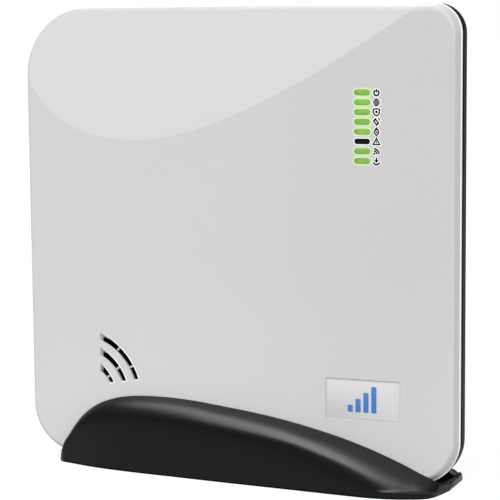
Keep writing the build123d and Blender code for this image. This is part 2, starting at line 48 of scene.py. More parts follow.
# ------------------------------------------------------------------ the part's own dimensions, in millimetres
W = H = 200.0
ZP = 3.0
YF, YB, Y_RIM = -11.4, 11.4, -6.5
FRONT_INSET = 2.2
R_TL, R_TR, R_BR, R_BL = 29.6, 12.5, 19.4, 23.0
WALL = 2.0
TILT = 0.05
CREASE = [(-104, 186.0), (-96.6, 170.9), (-90.7, 162.3), (-84.9, 156.6), (-79.0, 152.5), (-73.1, 149.9),
          (-67.2, 148.1), (-61.3, 146.8), (-55.5, 146.0), (-49.7, 145.5), (-43.9, 145.5), (-38.1, 145.9),
          (-32.4, 146.7), (-21.0, 149.1), (-9.7, 152.7), (1.5, 156.9), (12.5, 161.7), (23.4, 166.8),
          (34.1, 172.3), (44.7, 178.2), (55.2, 184.5), (65.6, 190.8), (75.8, 197.2), (86, 204.0), (104, 216.5)]
LED_X, LED_Z0, LED_PITCH, LED_N = 58.7, 166.55, 4.03, 8
LED_W, LED_H = 6.8, 2.25
ICON_X = 64.85
ARC_X, ARC_Z = -74.35, 31.0
ARCS = [(27.9, 30.15), (21.75, 24.05), (15.8, 17.9)]
ARC_LEFT = -64.2
RIBS = [(-55.3, 53.2, 0), (-49.1, 45.3, 0), (-55.5, 44.5, 1), (-60.2, 40.4, 2)]
BADGE = (42.3, 75.2, 29.5, 46.5)
SLOT_Y, Z_SOLE, Z_FLOOR, Z_REST = 11.7, 0.2, 1.8, 2.8
SLOT_X0, SLOT_X1 = -83.2, 93.05
STAND = [
    (-86.0, -9.2, 1.7, 9.2, 1.7), (-85.5, -11.0, 3.0, 11.0, 3.0), (-84.2, -12.4, 5.4, 12.4, 5.0),
    (-82.8, -13.4, 8.8, 13.4, 8.0), (-80.0, -14.2, 12.9, 14.2, 12.0), (-77.0, -14.9, 17.3, 14.9, 15.8),
    (-73.5, -15.9, 21.4, 15.9, 19.4), (-70.0, -16.8, 24.5, 16.8, 22.0), (-65.6, -17.8, 27.4, 17.8, 24.4),
    (-60.0, -18.7, 29.8, 18.7, 26.4), (-53.0, -19.7, 31.7, 19.7, 28.0), (-44.7, -20.5, 32.7, 20.5, 28.9),
    (-34.0, -21.2, 33.0, 21.3, 29.3), (-21.0, -22.0, 32.5, 22.4, 29.1), (-8.0, -22.9, 31.2, 23.6, 28.4),
    (6.0, -23.7, 29.6, 24.7, 27.4), (20.0, -24.4, 27.6, 25.6, 26.2), (34.0, -25.1, 24.9, 26.2, 24.7),
    (48.0, -25.9, 21.6, 26.5, 22.7), (58.0, -26.4, 18.7, 26.6, 20.6), (65.0, -26.6, 16.4, 26.6, 18.6),
    (71.0, -26.1, 14.2, 26.6, 16.0), (77.0, -24.9, 11.8, 26.6, 12.9), (82.5, -23.1, 9.4, 26.4, 9.3),
    (87.0, -21.1, 7.4, 25.6, 6.0), (90.2, -18.5, 5.9, 23.0, 4.0), (91.6, -15.6, 4.9, 21.0, 3.3),
    (92.6, -11.6, 4.0, 19.4, 3.0), (93.6, -7.0, 3.4, 18.2, 2.9), (94.3, -3.0, 3.0, 16.6, 2.8),
]
SHOULDER = [(-90.0, 0.83), (-36.0, 0.822), (11.5, 0.818), (29.0, 0.812), (45.0, 0.742), (57.0, 0.662), (69.0, 0.52), (76.0, 0.42), (84.0, 0.34), (96.0, 0.34)]


# ------------------------------------------------------------------ small maths
def cubic(xs, ys):
    """A monotone cubic through the points."""
    n = len(xs)
    d = [(ys[i + 1] - ys[i]) / (xs[i + 1] - xs[i]) for i in range(n - 1)]
    m = [d[0]] + [0.0] * (n - 2) + [d[-1]]
    for i in range(1, n - 1):
        if d[i - 1] * d[i] > 0:
            h0, h1 = xs[i] - xs[i - 1], xs[i + 1] - xs[i]
            w1, w2 = 2 * h1 + h0, h1 + 2 * h0
            m[i] = (w1 + w2) / (w1 / d[i - 1] + w2 / d[i])

    def f(x):
        if x <= xs[0]:
            return ys[0]
        if x >= xs[-1]:
            return ys[-1]
        i = max(k for k in range(n - 1) if xs[k] <= x)
        h = xs[i + 1] - xs[i]
        t = (x - xs[i]) / h
        return ((1 + 2 * t) * (1 - t) ** 2 * ys[i] + t * (1 - t) ** 2 * h * m[i]
                + t * t * (3 - 2 * t) * ys[i + 1] + t * t * (t - 1) * h * m[i + 1])
    return f


def catmull(pts, per):
    """A centripetal-free Catmull-Rom line through 2-D points, per samples a span."""
    out = []
    n = len(pts)
    for i in range(n - 1):
        p0 = pts[i - 1] if i else (2 * pts[0][0] - pts[1][0], 2 * pts[0][1] - pts[1][1])
        p1, p2 = pts[i], pts[i + 1]
        p3 = pts[i + 2] if i + 2 < n else (2 * p2[0] - p1[0], 2 * p2[1] - p1[1])
        for k in range(per):
            t = k / per
            out.append(tuple(0.5 * (2 * p1[j] + (p2[j] - p0[j]) * t + (2 * p0[j] - 5 * p1[j] + 4 * p2[j] - p3[j]) * t * t
                                    + (3 * p1[j] - p0[j] - 3 * p2[j] + p3[j]) * t ** 3) for j in (0, 1)))
    out.append(pts[-1])
    return out


zcrease = cubic([p[0] for p in CREASE], [p[1] for p in CREASE])


def setback(x, z):
    """How far the face lies behind the flat front: nothing below the crease, leaning back above it."""
    d = z - zcrease(x)
    s = 0.45
    if d <= -s:
        return 0.0
    if d < s:
        return TILT * (d + s) ** 2 / (4 * s)
    return TILT * d


# ------------------------------------------------------------------ the camera
YAW, PITCH, ROLL = math.radians(22.405), math.radians(6.898), math.radians(-0.5)
d = Vector((-math.sin(YAW) * math.cos(PITCH), math.cos(YAW) * math.cos(PITCH), -math.sin(PITCH)))
r = Vector((math.cos(YAW), math.sin(YAW), 0.0))
u = r.cross(d)
r2 = math.cos(ROLL) * r + math.sin(ROLL) * u
u2 = -math.sin(ROLL) * r + math.cos(ROLL) * u
cam_data = bpy.data.cameras.new("camera")
cam = bpy.data.objects.new("camera", cam_data)
scene.collection.objects.link(cam)
rot = Matrix((r2, u2, -d)).transposed()
cam.matrix_world = Matrix.Translation(Vector((0.29997, -0.71901, 0.19197))) @ rot.to_4x4()
cam_data.sensor_width = 36.0
cam_data.lens = 1808.9 / 500.0 * 36.0
cam_data.clip_start, cam_data.clip_end = 0.02, 50.0
scene.camera = cam


# ------------------------------------------------------------------ materials
def base_material(name, rgb, rough, metallic=0.0, ior=1.5, coat=0.0, coat_rough=0.2, spec=0.5):
    m = bpy.data.materials.new(name)
    m.use_nodes = True
    nt = m.node_tree
    b = nt.nodes["Principled BSDF"]
    b.inputs["Base Color"].default_value = (*rgb, 1)
    b.inputs["Roughness"].default_value = rough
    b.inputs["Metallic"].default_value = metallic
    b.inputs["IOR"].default_value = ior
    b.inputs["Coat Weight"].default_value = coat
    b.inputs["Coat Roughness"].default_value = coat_rough
    b.inputs["Specular IOR Level"].default_value = spec
    return m, nt, b


def plastic(name, rgb, rough, grain=900.0, bump=0.05, vary=0.03, rough_vary=0.06, blotch=14.0, metallic=0.0, coat=0.0,
            coat_rough=0.15, ior=1.5, spec=0.5):
    """Moulded or finished surface: fine grain in the bump, slow drift in colour and gloss."""
    m, nt, b = base_material(name, rgb, rough, metallic, ior, coat, coat_rough, spec)
    tc = nt.nodes.new("ShaderNodeTexCoord")
    slow = nt.nodes.new("ShaderNodeTexNoise")
    slow.inputs["Scale"].default_value = blotch
    slow.inputs["Detail"].default_value = 4.0
    fine = nt.nodes.new("ShaderNodeTexNoise")
    fine.inputs["Scale"].default_value = grain
    fine.inputs["Detail"].default_value = 3.0
    fine.inputs["Roughness"].default_value = 0.6
    nt.links.new(tc.outputs["Object"], slow.inputs["Vector"])
    nt.links.new(tc.outputs["Object"], fine.inputs["Vector"])
    ramp = nt.nodes.new("ShaderNodeValToRGB")
    ramp.color_ramp.elements[0].position = 0.3
    ramp.color_ramp.elements[1].position = 0.7
    ramp.color_ramp.elements[0].color = (*[max(0.0, c * (1 - vary)) for c in rgb], 1)
    ramp.color_ramp.elements[1].color = (*[min(1.0, c * (1 + vary)) for c in rgb], 1)
    nt.links.new(slow.outputs["Fac"], ramp.inputs["Fac"])
    nt.links.new(ramp.outputs["Color"], b.inputs["Base Color"])
    mix = nt.nodes.new("ShaderNodeMapRange")
    mix.inputs["From Min"].default_value = 0.3
    mix.inputs["From Max"].default_value = 0.7
    mix.inputs["To Min"].default_value = max(0.02, rough - rough_vary)
    mix.inputs["To Max"].default_value = min(1.0, rough + rough_vary)
    nt.links.new(fine.outputs["Fac"], mix.inputs["Value"])
    nt.links.new(mix.outputs["Result"], b.inputs["Roughness"])
    bp = nt.nodes.new("ShaderNodeBump")
    bp.inputs["Strength"].default_value = bump
    bp.inputs["Distance"].default_value = 0.0002
    nt.links.new(fine.outputs["Fac"], bp.inputs["Height"])
    nt.links.new(bp.outputs["Normal"], b.inputs["Normal"])
    return m


def brushed(name, rgb, rough, axis=(1, 1, 40)):
    m, nt, b = base_material(name, rgb, rough, metallic=1.0)
    tc = nt.nodes.new("ShaderNodeTexCoord")
    mp = nt.nodes.new("ShaderNodeMapping")
    mp.inputs["Scale"].default_value = axis
    nz = nt.nodes.new("ShaderNodeTexNoise")
    nz.inputs["Scale"].default_value = 260.0
    nz.inputs["Detail"].default_value = 5.0
    nt.links.new(tc.outputs["Object"], mp.inputs["Vector"])
    nt.links.new(mp.outputs["Vector"], nz.inputs["Vector"])
    rp = nt.nodes.new("ShaderNodeValToRGB")
    rp.color_ramp.elements[0].color = (*[c * 0.82 for c in rgb], 1)
    rp.color_ramp.elements[1].color = (*[min(1, c * 1.1) for c in rgb], 1)
    nt.links.new(nz.outputs["Fac"], rp.inputs["Fac"])
    nt.links.new(rp.outputs["Color"], b.inputs["Base Color"])
    mr = nt.nodes.new("ShaderNodeMapRange")
    mr.inputs["To Min"].default_value = rough - 0.1
    mr.inputs["To Max"].default_value = rough + 0.12
    nt.links.new(nz.outputs["Fac"], mr.inputs["Value"])
    nt.links.new(mr.outputs["Result"], b.inputs["Roughness"])
    return m


MAT = {
    "cover_white": plastic("cover_white", (0.595, 0.5915, 0.592), 0.5, grain=2600, bump=0.03, vary=0.006, rough_vary=0.03, blotch=9, spec=0.2),
    # painted_highlight_white: pale plastic for thin strips along edges, a painted highlight
    "painted_highlight_white": plastic("painted_highlight_white", (0.93, 0.93, 0.93), 0.25, grain=2600, bump=0.02, vary=0.006, rough_vary=0.03, blotch=9),
    "stand_black": plastic("stand_black", (0.0042, 0.0040, 0.0040), 0.34, grain=2200, bump=0.06, vary=0.10, rough_vary=0.03, spec=0.15),
    "cover_black": plastic("cover_black", (0.010, 0.010, 0.0105), 0.5, grain=1900, bump=0.2, vary=0.08, rough_vary=0.06, spec=0.06),
    # painted_shadow_black: near-black with no gloss, for strips that stand in for shade in the cover gap and at the
    # stand's foot (painted shadow)
    "painted_shadow_black": plastic("painted_shadow_black", (0.002, 0.002, 0.002), 0.9, grain=1500, bump=0.1, vary=0.1, spec=0.0),
    "rubber": plastic("rubber", (0.02, 0.02, 0.02), 0.8, grain=1500, bump=0.3, vary=0.15),
    "badge_film": plastic("badge_film", (0.665, 0.665, 0.666), 0.4, grain=3000, bump=0.02, vary=0.006, rough_vary=0.03, spec=0.2),
    "ink_blue": plastic("ink_blue", (0.048, 0.19, 0.51), 0.35, grain=2500, bump=0.05, vary=0.05),
    "ink_black": plastic("ink_black", (0.003, 0.003, 0.0035), 0.6, grain=2500, bump=0.05, vary=0.08, spec=0.0),
    "ink_globe": plastic("ink_globe", (0.22, 0.22, 0.23), 0.45, grain=2500, bump=0.05, vary=0.08, spec=0.2),
    "chip_black": plastic("chip_black", (0.018, 0.018, 0.019), 0.5, grain=1800, bump=0.2, vary=0.08),
    "cream_plastic": plastic("cream_plastic", (0.60, 0.56, 0.46), 0.45, grain=1600, bump=0.1, vary=0.03),
    "capacitor_sleeve": plastic("capacitor_sleeve", (0.015, 0.02, 0.06), 0.22, grain=700, bump=0.05, vary=0.08, coat=0.3),
    "lead_jacket": plastic("lead_jacket", (0.02, 0.02, 0.02), 0.4, grain=1500, bump=0.05, vary=0.08),
    "sounder_black": plastic("sounder_black", (0.008, 0.008, 0.008), 0.6, grain=1500, bump=0.2, vary=0.1, spec=0.2),
    "mesh_black": plastic("mesh_black", (0.0015, 0.0015, 0.0015), 0.9, grain=2600, bump=0.6, vary=0.3, spec=0.02),
    "battery_wrap": plastic("battery_wrap", (0.04, 0.10, 0.27), 0.22, grain=500, bump=0.08, vary=0.08, coat=0.4),
    "card_white": plastic("card_white", (0.72, 0.72, 0.72), 0.35, grain=1500, bump=0.05, vary=0.02),
    "button_grey": plastic("button_grey", (0.14, 0.14, 0.145), 0.42, grain=1800, bump=0.12, vary=0.05),
    "label_silver": plastic("label_silver", (0.50, 0.51, 0.52), 0.38, grain=1200, bump=0.06, vary=0.03, metallic=0.3),
    "dark_steel": brushed("dark_steel", (0.09, 0.09, 0.095), 0.38),
    "zinc_steel": brushed("zinc_steel", (0.56, 0.56, 0.57), 0.34),
    "tinned_steel": brushed("tinned_steel", (0.66, 0.66, 0.66), 0.3),
    "aluminium": brushed("aluminium", (0.72, 0.72, 0.74), 0.36),
    "gold": brushed("gold", (0.83, 0.60, 0.22), 0.25),
}


def board_material(name, mask, trace, scale):
    """Solder mask with darker copper runs under it and small bare pads."""
    m, nt, b = base_material(name, mask, 0.3, coat=0.25)
    tc = nt.nodes.new("ShaderNodeTexCoord")
    vr = nt.nodes.new("ShaderNodeTexVoronoi")
    vr.distance = "CHEBYCHEV"
    vr.feature = "F1"
    vr.inputs["Scale"].default_value = scale
    nt.links.new(tc.outputs["Object"], vr.inputs["Vector"])
    rp = nt.nodes.new("ShaderNodeValToRGB")
    rp.color_ramp.interpolation = "CONSTANT"
    e = rp.color_ramp.elements
    e[0].position, e[0].color = 0.0, (0.62, 0.55, 0.36, 1)
    e[1].position, e[1].color = 0.09, (*trace, 1)
    x = e.new(0.3)
    x.color = (*mask, 1)
    nt.links.new(vr.outputs["Distance"], rp.inputs["Fac"])
    nt.links.new(rp.outputs["Color"], b.inputs["Base Color"])
    return m


MAT["circuit_board"] = board_material("circuit_board", (0.012, 0.12, 0.05), (0.02, 0.19, 0.08), 420)
MAT["aerial_board"] = board_material("aerial_board", (0.02, 0.06, 0.13), (0.04, 0.10, 0.2), 160)


def lens_material(name, deep, core, glow, coat=0.5, spec=0.5):
    """A lit window: clear gloss over a coloured core whose tone drifts with fine noise; it glows when glow is set."""
    m, nt, b = base_material(name, core, 0.22, coat=coat, coat_rough=0.08, spec=spec)
    tc = nt.nodes.new("ShaderNodeTexCoord")
    nz = nt.nodes.new("ShaderNodeTexNoise")
    nz.inputs["Scale"].default_value = 420.0
    nz.inputs["Detail"].default_value = 2.0
    nt.links.new(tc.outputs["Object"], nz.inputs["Vector"])
    rp = nt.nodes.new("ShaderNodeValToRGB")
    rp.color_ramp.elements[0].position = 0.32
    rp.color_ramp.elements[0].color = (*deep, 1)
    rp.color_ramp.elements[1].position = 0.62
    rp.color_ramp.elements[1].color = (*core, 1)
    nt.links.new(nz.outputs["Fac"], rp.inputs["Fac"])
    nt.links.new(rp.outputs["Color"], b.inputs["Base Color"])
    if glow:
        nt.links.new(rp.outputs["Color"], b.inputs["Emission Color"])
        b.inputs["Emission Strength"].default_value = glow
    return m


MAT["lens_green"] = lens_material("lens_green", (0.120, 0.295, 0.034), (0.166, 0.385, 0.045), 0.35)
MAT["lens_dark"] = lens_material("lens_dark", (0.003, 0.003, 0.0035), (0.006, 0.006, 0.007), 0.0, coat=0.0, spec=0.1)
# pale rings laid on the face as painted light: glow spill round the lit windows (halo_green, halo_pale) and bright
# halos round the dark window and the pictograms (halo_white)
MAT["halo_green"] = plastic("halo_green", (0.575, 0.78, 0.33), 0.4, grain=2500, bump=0.02, vary=0.04)
MAT["halo_pale"] = plastic("halo_pale", (0.66, 0.75, 0.56), 0.4, grain=2500, bump=0.02, vary=0.04)
MAT["halo_white"] = plastic("halo_white", (0.94, 0.94, 0.93), 0.4, grain=2500, bump=0.02, vary=0.01)

slots = {s["node"]: s["material_slot"] for s in frame["record"]["subparts"]}
for name, o in frame["nodes"].items():
    o.data.materials.clear()
    o.data.materials.append(MAT[slots[name]])


# ------------------------------------------------------------------ mesh helpers
def new_object(name, verts, faces, mat, body, cad=None, angle=30.0, smooth=True):
    me = bpy.data.meshes.new(name)
    me.from_pydata([(x * MM, y * MM, z * MM) for x, y, z in verts], [], faces)
    me.validate()
    bm = bmesh.new()
    bm.from_mesh(me)
    bmesh.ops.remove_doubles(bm, verts=bm.verts, dist=1e-7)
    bmesh.ops.recalc_face_normals(bm, faces=bm.faces)
    bm.to_mesh(me)
    bm.free()
    if smooth:
        me.polygons.foreach_set("use_smooth", [True] * len(me.polygons))
        me.set_sharp_from_angle(angle=math.radians(angle))
    o = bpy.data.objects.new(name, me)
    scene.collection.objects.link(o)
    me.materials.append(MAT[mat])
    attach(o, body)
    if cad:
        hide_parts(*([cad] if isinstance(cad, str) else cad))
    return o


def panel_outline(inset_at, step=3.0, arc_n=20):
    """Points round the panel, anticlockwise seen from the front, each moved inwards by inset_at(x, z)."""
    hx, z0, z1 = W / 2, ZP, ZP + H
    base = []
    corners = [(hx - R_BR, z0 + R_BR, R_BR, -90), (hx - R_TR, z1 - R_TR, R_TR, 0),
               (-hx + R_TL, z1 - R_TL, R_TL, 90), (-hx + R_BL, z0 + R_BL, R_BL, 180)]
    for i, (cx, cz, rr, a0) in enumerate(corners):
        for k in range(arc_n + 1):
            a = math.radians(a0 + 90.0 * k / arc_n)
            base.append((cx + rr * math.cos(a), cz + rr * math.sin(a), math.cos(a), math.sin(a)))
        nx, nz, nr, na = corners[(i + 1) % 4]
        a = math.radians(a0 + 90)
        p0 = (cx + rr * math.cos(a), cz + rr * math.sin(a))
        p1 = (nx + nr * math.cos(a), nz + nr * math.sin(a))
        n = max(2, int(math.dist(p0, p1) / step))
        for k in range(1, n):
            t = k / n
            base.append((p0[0] + (p1[0] - p0[0]) * t, p0[1] + (p1[1] - p0[1]) * t, math.cos(a), math.sin(a)))
    out = []
    for x, z, nx, nz in base:
        i = inset_at(x, z, nx, nz)
        out.append((x - nx * i, z - nz * i, nx, nz, x, z))
    return out


def pill_loop(cx, cz, w, h, n=10):
    rr = h / 2
    out = []
    for sx, a0 in ((1, -90), (-1, 90)):
        for k in range(n + 1):
            a = math.radians(a0 + 180.0 * k / n)
            out.append((cx + sx * (w / 2 - rr) + rr * math.cos(a), cz + rr * math.sin(a)))
    return out


def rrect_loop(x0, x1, z0, z1, rr, n=5):
    out = []
    for cx, cz, a0 in ((x1 - rr, z0 + rr, -90), (x1 - rr, z1 - rr, 0), (x0 + rr, z1 - rr, 90), (x0 + rr, z0 + rr, 180)):
        for k in range(n + 1):
            a = math.radians(a0 + 90.0 * k / n)
            out.append((cx + rr * math.cos(a), cz + rr * math.sin(a)))
    return out


def inside(p, loop):
    x, y = p
    c = False
    j = len(loop) - 1
    for i in range(len(loop)):
        xi, yi = loop[i][0], loop[i][1]
        xj, yj = loop[j][0], loop[j][1]
        if (yi > y) != (yj > y) and x < (xj - xi) * (y - yi) / (yj - yi) + xi:
            c = not c
        j = i
    return c


def fill(outer, holes, extra, lines=()):
    """Triangles between an outer loop and hole loops, with more points and lines inside. Returns points and faces."""
    pts, edges = [], []
    for loop in [outer] + list(holes):
        s = len(pts)
        pts += [Vector((p[0], p[1])) for p in loop]
        edges += [(s + i, s + (i + 1) % len(loop)) for i in range(len(loop))]
    for line in lines:
        s = len(pts)
        pts += [Vector(p) for p in line]
        edges += [(s + i, s + i + 1) for i in range(len(line) - 1)]
    pts += [Vector(p) for p in extra]
    vs, _, fs, ov, _, _ = delaunay_2d_cdt(pts, edges, [], 0, 1e-6)
    keep = []
    for f in fs:
        c = (sum(vs[i][0] for i in f) / 3, sum(vs[i][1] for i in f) / 3)
        if inside(c, outer) and not any(inside(c, h) for h in holes):
            keep.append(tuple(f))
    where = {}
    for new, olds in enumerate(ov):
        for o in olds:
            where[o] = new
    return vs, keep, where


# ------------------------------------------------------------------ front cover
def slot_loops():
    """The sounder's three arc slots. Each is the loop at the face and the loop at the back of the wall, where the upper
    left of the outer edge runs in as a ramp."""
    def bottom(x):
        return 36.6 + (x - ARC_LEFT) * (40.7 - 36.6) / (-40 - ARC_LEFT)
    out = []
    for k, (r0, r1) in enumerate(ARCS):
        r0 = r0 - 0.15

        def a_left(rr):
            return math.degrees(math.acos((ARC_LEFT - ARC_X) / rr))

        def a_low(rr):
            lo, hi = 0.0, 80.0
            for _ in range(40):
                mid = (lo + hi) / 2
                x, z = ARC_X + rr * math.cos(math.radians(mid)), ARC_Z + rr * math.sin(math.radians(mid))
                if z < bottom(x):
                    lo = mid
                else:
                    hi = mid
            return hi

        def at(rr, a, dx=0.0):
            return (ARC_X + rr * math.cos(math.radians(a)) + dx, ARC_Z + rr * math.sin(math.radians(a)))
        t0, t1, b0, b1 = a_left(r0), a_left(r1), a_low(r0), a_low(r1)
        n = max(10, int((t0 - b0) / 2.5))
        run = math.degrees((6.4, 5.6, 2.8)[k] / r1)
        front, back = [], []
        for i in range(n + 1):
            a = b0 + (t0 - b0) * i / n
            q = max(0.0, 1 - (t0 - a) / (run * 1.1))
            u = (a - b0) / (t0 - b0)
            front.append(at(r0 - 0.35 * q, a))
            back.append(at(r0 - 0.15 - 0.75 * u, a, 1.0 if i == n else 0.0))
        for i in range(n + 1):
            a = t1 + (b1 - t1) * i / n
            q = max(0.0, 1 - (t1 - a) / run)
            tail = min(1.0, max(0.0, 1.5 - 0.5 * (t1 - a) / run))
            front.append(at(r1 + 0.45 * q, a))
            back.append(at(r1 - 0.55 * tail - 1.2 * q ** 0.8, a, 1.3 if i == 0 else 0.0))
        out.append((front, back, k, r0, r1, (t0, t1, b0, b1)))
    return out


def front_cover():
    tan = 1.12
    # the front face's own edge, where the rounding starts
    def inset_face(x, z, nx, nz):
        i = 3.3
        for _ in range(4):
            s = setback(x - nx * i, z - nz * i)
            i = tan + FRONT_INSET * (4.9 - s) / 4.9
        return i
    rim = panel_outline(lambda *a: 0.0)
    face = panel_outline(inset_face)
    ring0 = [(p[0], p[1]) for p in face]
    support = [(p[0] - p[2] * 0.5, p[1] - p[3] * 0.5) for p in face]
    pills = [pill_loop(LED_X, LED_Z0 - i * LED_PITCH, LED_W + 0.12, LED_H + 0.12) for i in range(LED_N)]
    cut = slot_loops()
    arcs = [c[0] for c in cut]
    badge = rrect_loop(*BADGE, 0.4)
    holes = pills + arcs
    extra = list(support)
    lines = []
    inner_edge = [(p[0] - p[2] * 1.2, p[1] - p[3] * 1.2) for p in face]
    for off in (-0.45, -0.15, 0.15, 0.45):
        line = []
        x = -96.0
        while x <= 84.0:
            z = zcrease(x) + off
            if inside((x, z), inner_edge):
                line.append((x, z))
            x += 1.5
        lines.append(line)
    x = -95.0
    while x <= 95.0:
        z = ZP + 5.0
        while z < ZP + H - 3:
            if inside((x, z), inner_edge) and not any(inside((x, z), h) for h in holes) and abs(z - zcrease(x)) > 1.2:
                extra.append((x, z))
            z += 4.0 if z > 140 else 9.0
        x += 3.0
    # near each hole, nothing else is needed: the face is flat there
    vs, tris, where = fill(ring0, holes + [badge], extra, lines)
    verts, faces = [], []
    nv = len(vs)
    for v in vs:
        verts.append((v[0], YF + setback(v[0], v[1]), v[1]))
    for v in vs:
        verts.append((v[0], YF + WALL + setback(v[0], v[1]), v[1]))
    for f in tris:
        faces.append(f)
        faces.append(tuple(nv + i for i in reversed(f)))
    # walls of the holes, with a small lead-in and, in the arc slots, a ramp at the left
    s = len(ring0)

    def loop_ids(start, n):
        return [where[start + i] for i in range(n)]
    for h in holes:
        ids = loop_ids(s, len(h))
        s += len(h)
        n = len(ids)
        for i in range(n):
            a, b = ids[i], ids[(i + 1) % n]
            faces.append((a, b, nv + b, nv + a))
        if h in arcs:
            for i, (x, z) in enumerate(cut[arcs.index(h)][1]):
                verts[nv + ids[i]] = (x, YF + WALL, z)
    ids = loop_ids(s, len(badge))
    n = len(ids)
    # badge recess: a shallow pocket with its own floor; the back face is closed there too
    fl = len(verts)
    for x, z in badge:
        verts.append((x, YF + 0.7, z))
    for i in range(n):
        faces.append((ids[i], ids[(i + 1) % n], fl + (i + 1) % n, fl + i))
    faces.append(tuple(fl + i for i in range(n)))
    faces.append(tuple(nv + i for i in reversed(ids)))
    # the rounded front edge, the drafted side, the rim and the inside
    ang = math.atan2(FRONT_INSET, 4.9)
    turn = math.pi / 2 - ang
    rad = tan / math.tan(turn / 2)
    prev = loop_ids(0, len(ring0))
    steps = 7
    n = len(prev)
    ids0 = prev
    for k in range(1, steps + 1):
        t = turn * k / steps
        cur = []
        for i, p in enumerate(face):
            x, z, nx, nz, ox, oz = p
            sb = setback(x, z)
            base = math.hypot(x - ox, z - oz)
            ins = base - rad * math.sin(t)
            y = YF + sb + rad * (1 - math.cos(t))
            cur.append(len(verts))
            verts.append((ox - nx * ins, y, oz - nz * ins))
        for i in range(n):
            faces.append((prev[i], cur[i], cur[(i + 1) % n], prev[(i + 1) % n]))
        prev = cur
    # down the drafted side to the rim; a short upright land; a tiny edge; then back in
    for ins, y in ((0.56, -7.36), (0.52, -7.25), (0.05, -7.23), (0.0, -7.18), (0.0, -6.56), (0.06, -6.5), (WALL, -6.5), (WALL, -6.6)):
        cur = []
        for x, z, nx, nz, ox, oz in rim:
            cur.append(len(verts))
            verts.append((ox - nx * ins, y, oz - nz * ins))
        for i in range(n):
            faces.append((prev[i], cur[i], cur[(i + 1) % n], prev[(i + 1) % n]))
        prev = cur
    for i in range(n):
        a, b = ids0[i], ids0[(i + 1) % n]
        faces.append((prev[i], nv + a, nv + b, prev[(i + 1) % n]))
    # the ties that cross the slots sit a little below the face
    for x, z, k in RIBS:
        a = math.atan2(z - ARC_Z, x - ARC_X)
        half = 0.46 / ((ARCS[k][0] + ARCS[k][1]) / 2)
        c = len(verts)
        for y in (YF + 1.45, YF + WALL - 0.05):
            for rr, q in ((ARCS[k][0] - 0.35, a - half), (ARCS[k][1] + 0.2, a - half), (ARCS[k][1] + 0.2, a + half), (ARCS[k][0] - 0.35, a + half)):
                verts.append((ARC_X + rr * math.cos(q), y, ARC_Z + rr * math.sin(q)))
        faces += [(c, c + 1, c + 2, c + 3), (c + 7, c + 6, c + 5, c + 4)] + [(c + i, c + 4 + i, c + 4 + (i + 1) % 4, c + (i + 1) % 4) for i in range(4)]
    o = new_object("front_cover_shell", verts, faces, "cover_white", "hub", "front_cover", angle=26)
    lean(o.data)
    return o


def lean(me):
    """Corner normals of the face bent to paint light and shade: brighter above the crease and towards the bottom,
    darker towards the right below the crease, dimmer on the top edge; the shape itself stays as built.
    """
    out = []
    auto = [c.vector.copy() for c in me.corner_normals]
    for loop, nv in zip(me.loops, auto):
        x, y, z = (c / MM for c in me.vertices[loop.vertex_index].co)
        if nv.y < -0.02 and y < YF + 5.6:
            if nv.z > 0.12 and z > 150.0:
                nv.z = 0.12 + (nv.z - 0.12) * 0.12
            dd = min(1.0, max(0.0, (z - zcrease(x) + 0.45) / 0.9))
            low = min(1.0, max(0.0, (95.0 - z) / 70.0))
            up = (0.070 + 0.0002 * (x + 60)) * dd * dd * (3 - 2 * dd) + (0.02 + 0.04 * min(1.0, max(0.0, (x + 90.0) / 60.0))) * low
            right = min(1.0, max(0.0, (x + 10.0) / 75.0))
            down = -0.045 * right * right * (3 - 2 * right) * (1 - dd)
            nv = (nv + Vector((0, 0, (up + down) * nv.y ** 2))).normalized()
        out.append(tuple(nv))
    me.normals_split_custom_set(out)


front_cover()


def front_rim():
    """The cover's thin rim, a step that faces the front, in a plastic paler than the cover: painted highlight along the
    edge.
    """
    ring = panel_outline(lambda *a: 0.0)
    prof = [(0.50, -7.24), (0.50, -7.30), (0.44, -7.34), (0.10, -7.34), (0.04, -7.30), (0.04, -7.24)]
    verts, faces, n, k = [], [], len(ring), len(prof)
    for ins, y in prof:
        verts += [(ox - nx * ins, y, oz - nz * ins) for x, z, nx, nz, ox, oz in ring]
    for a in range(k):
        b = (a + 1) % k
        for i in range(n):
            j = (i + 1) % n
            faces.append((a * n + i, b * n + i, b * n + j, a * n + j))
    return new_object("front_cover_rim", verts, faces, "painted_highlight_white", "hub", "front_cover", angle=30)


front_rim()


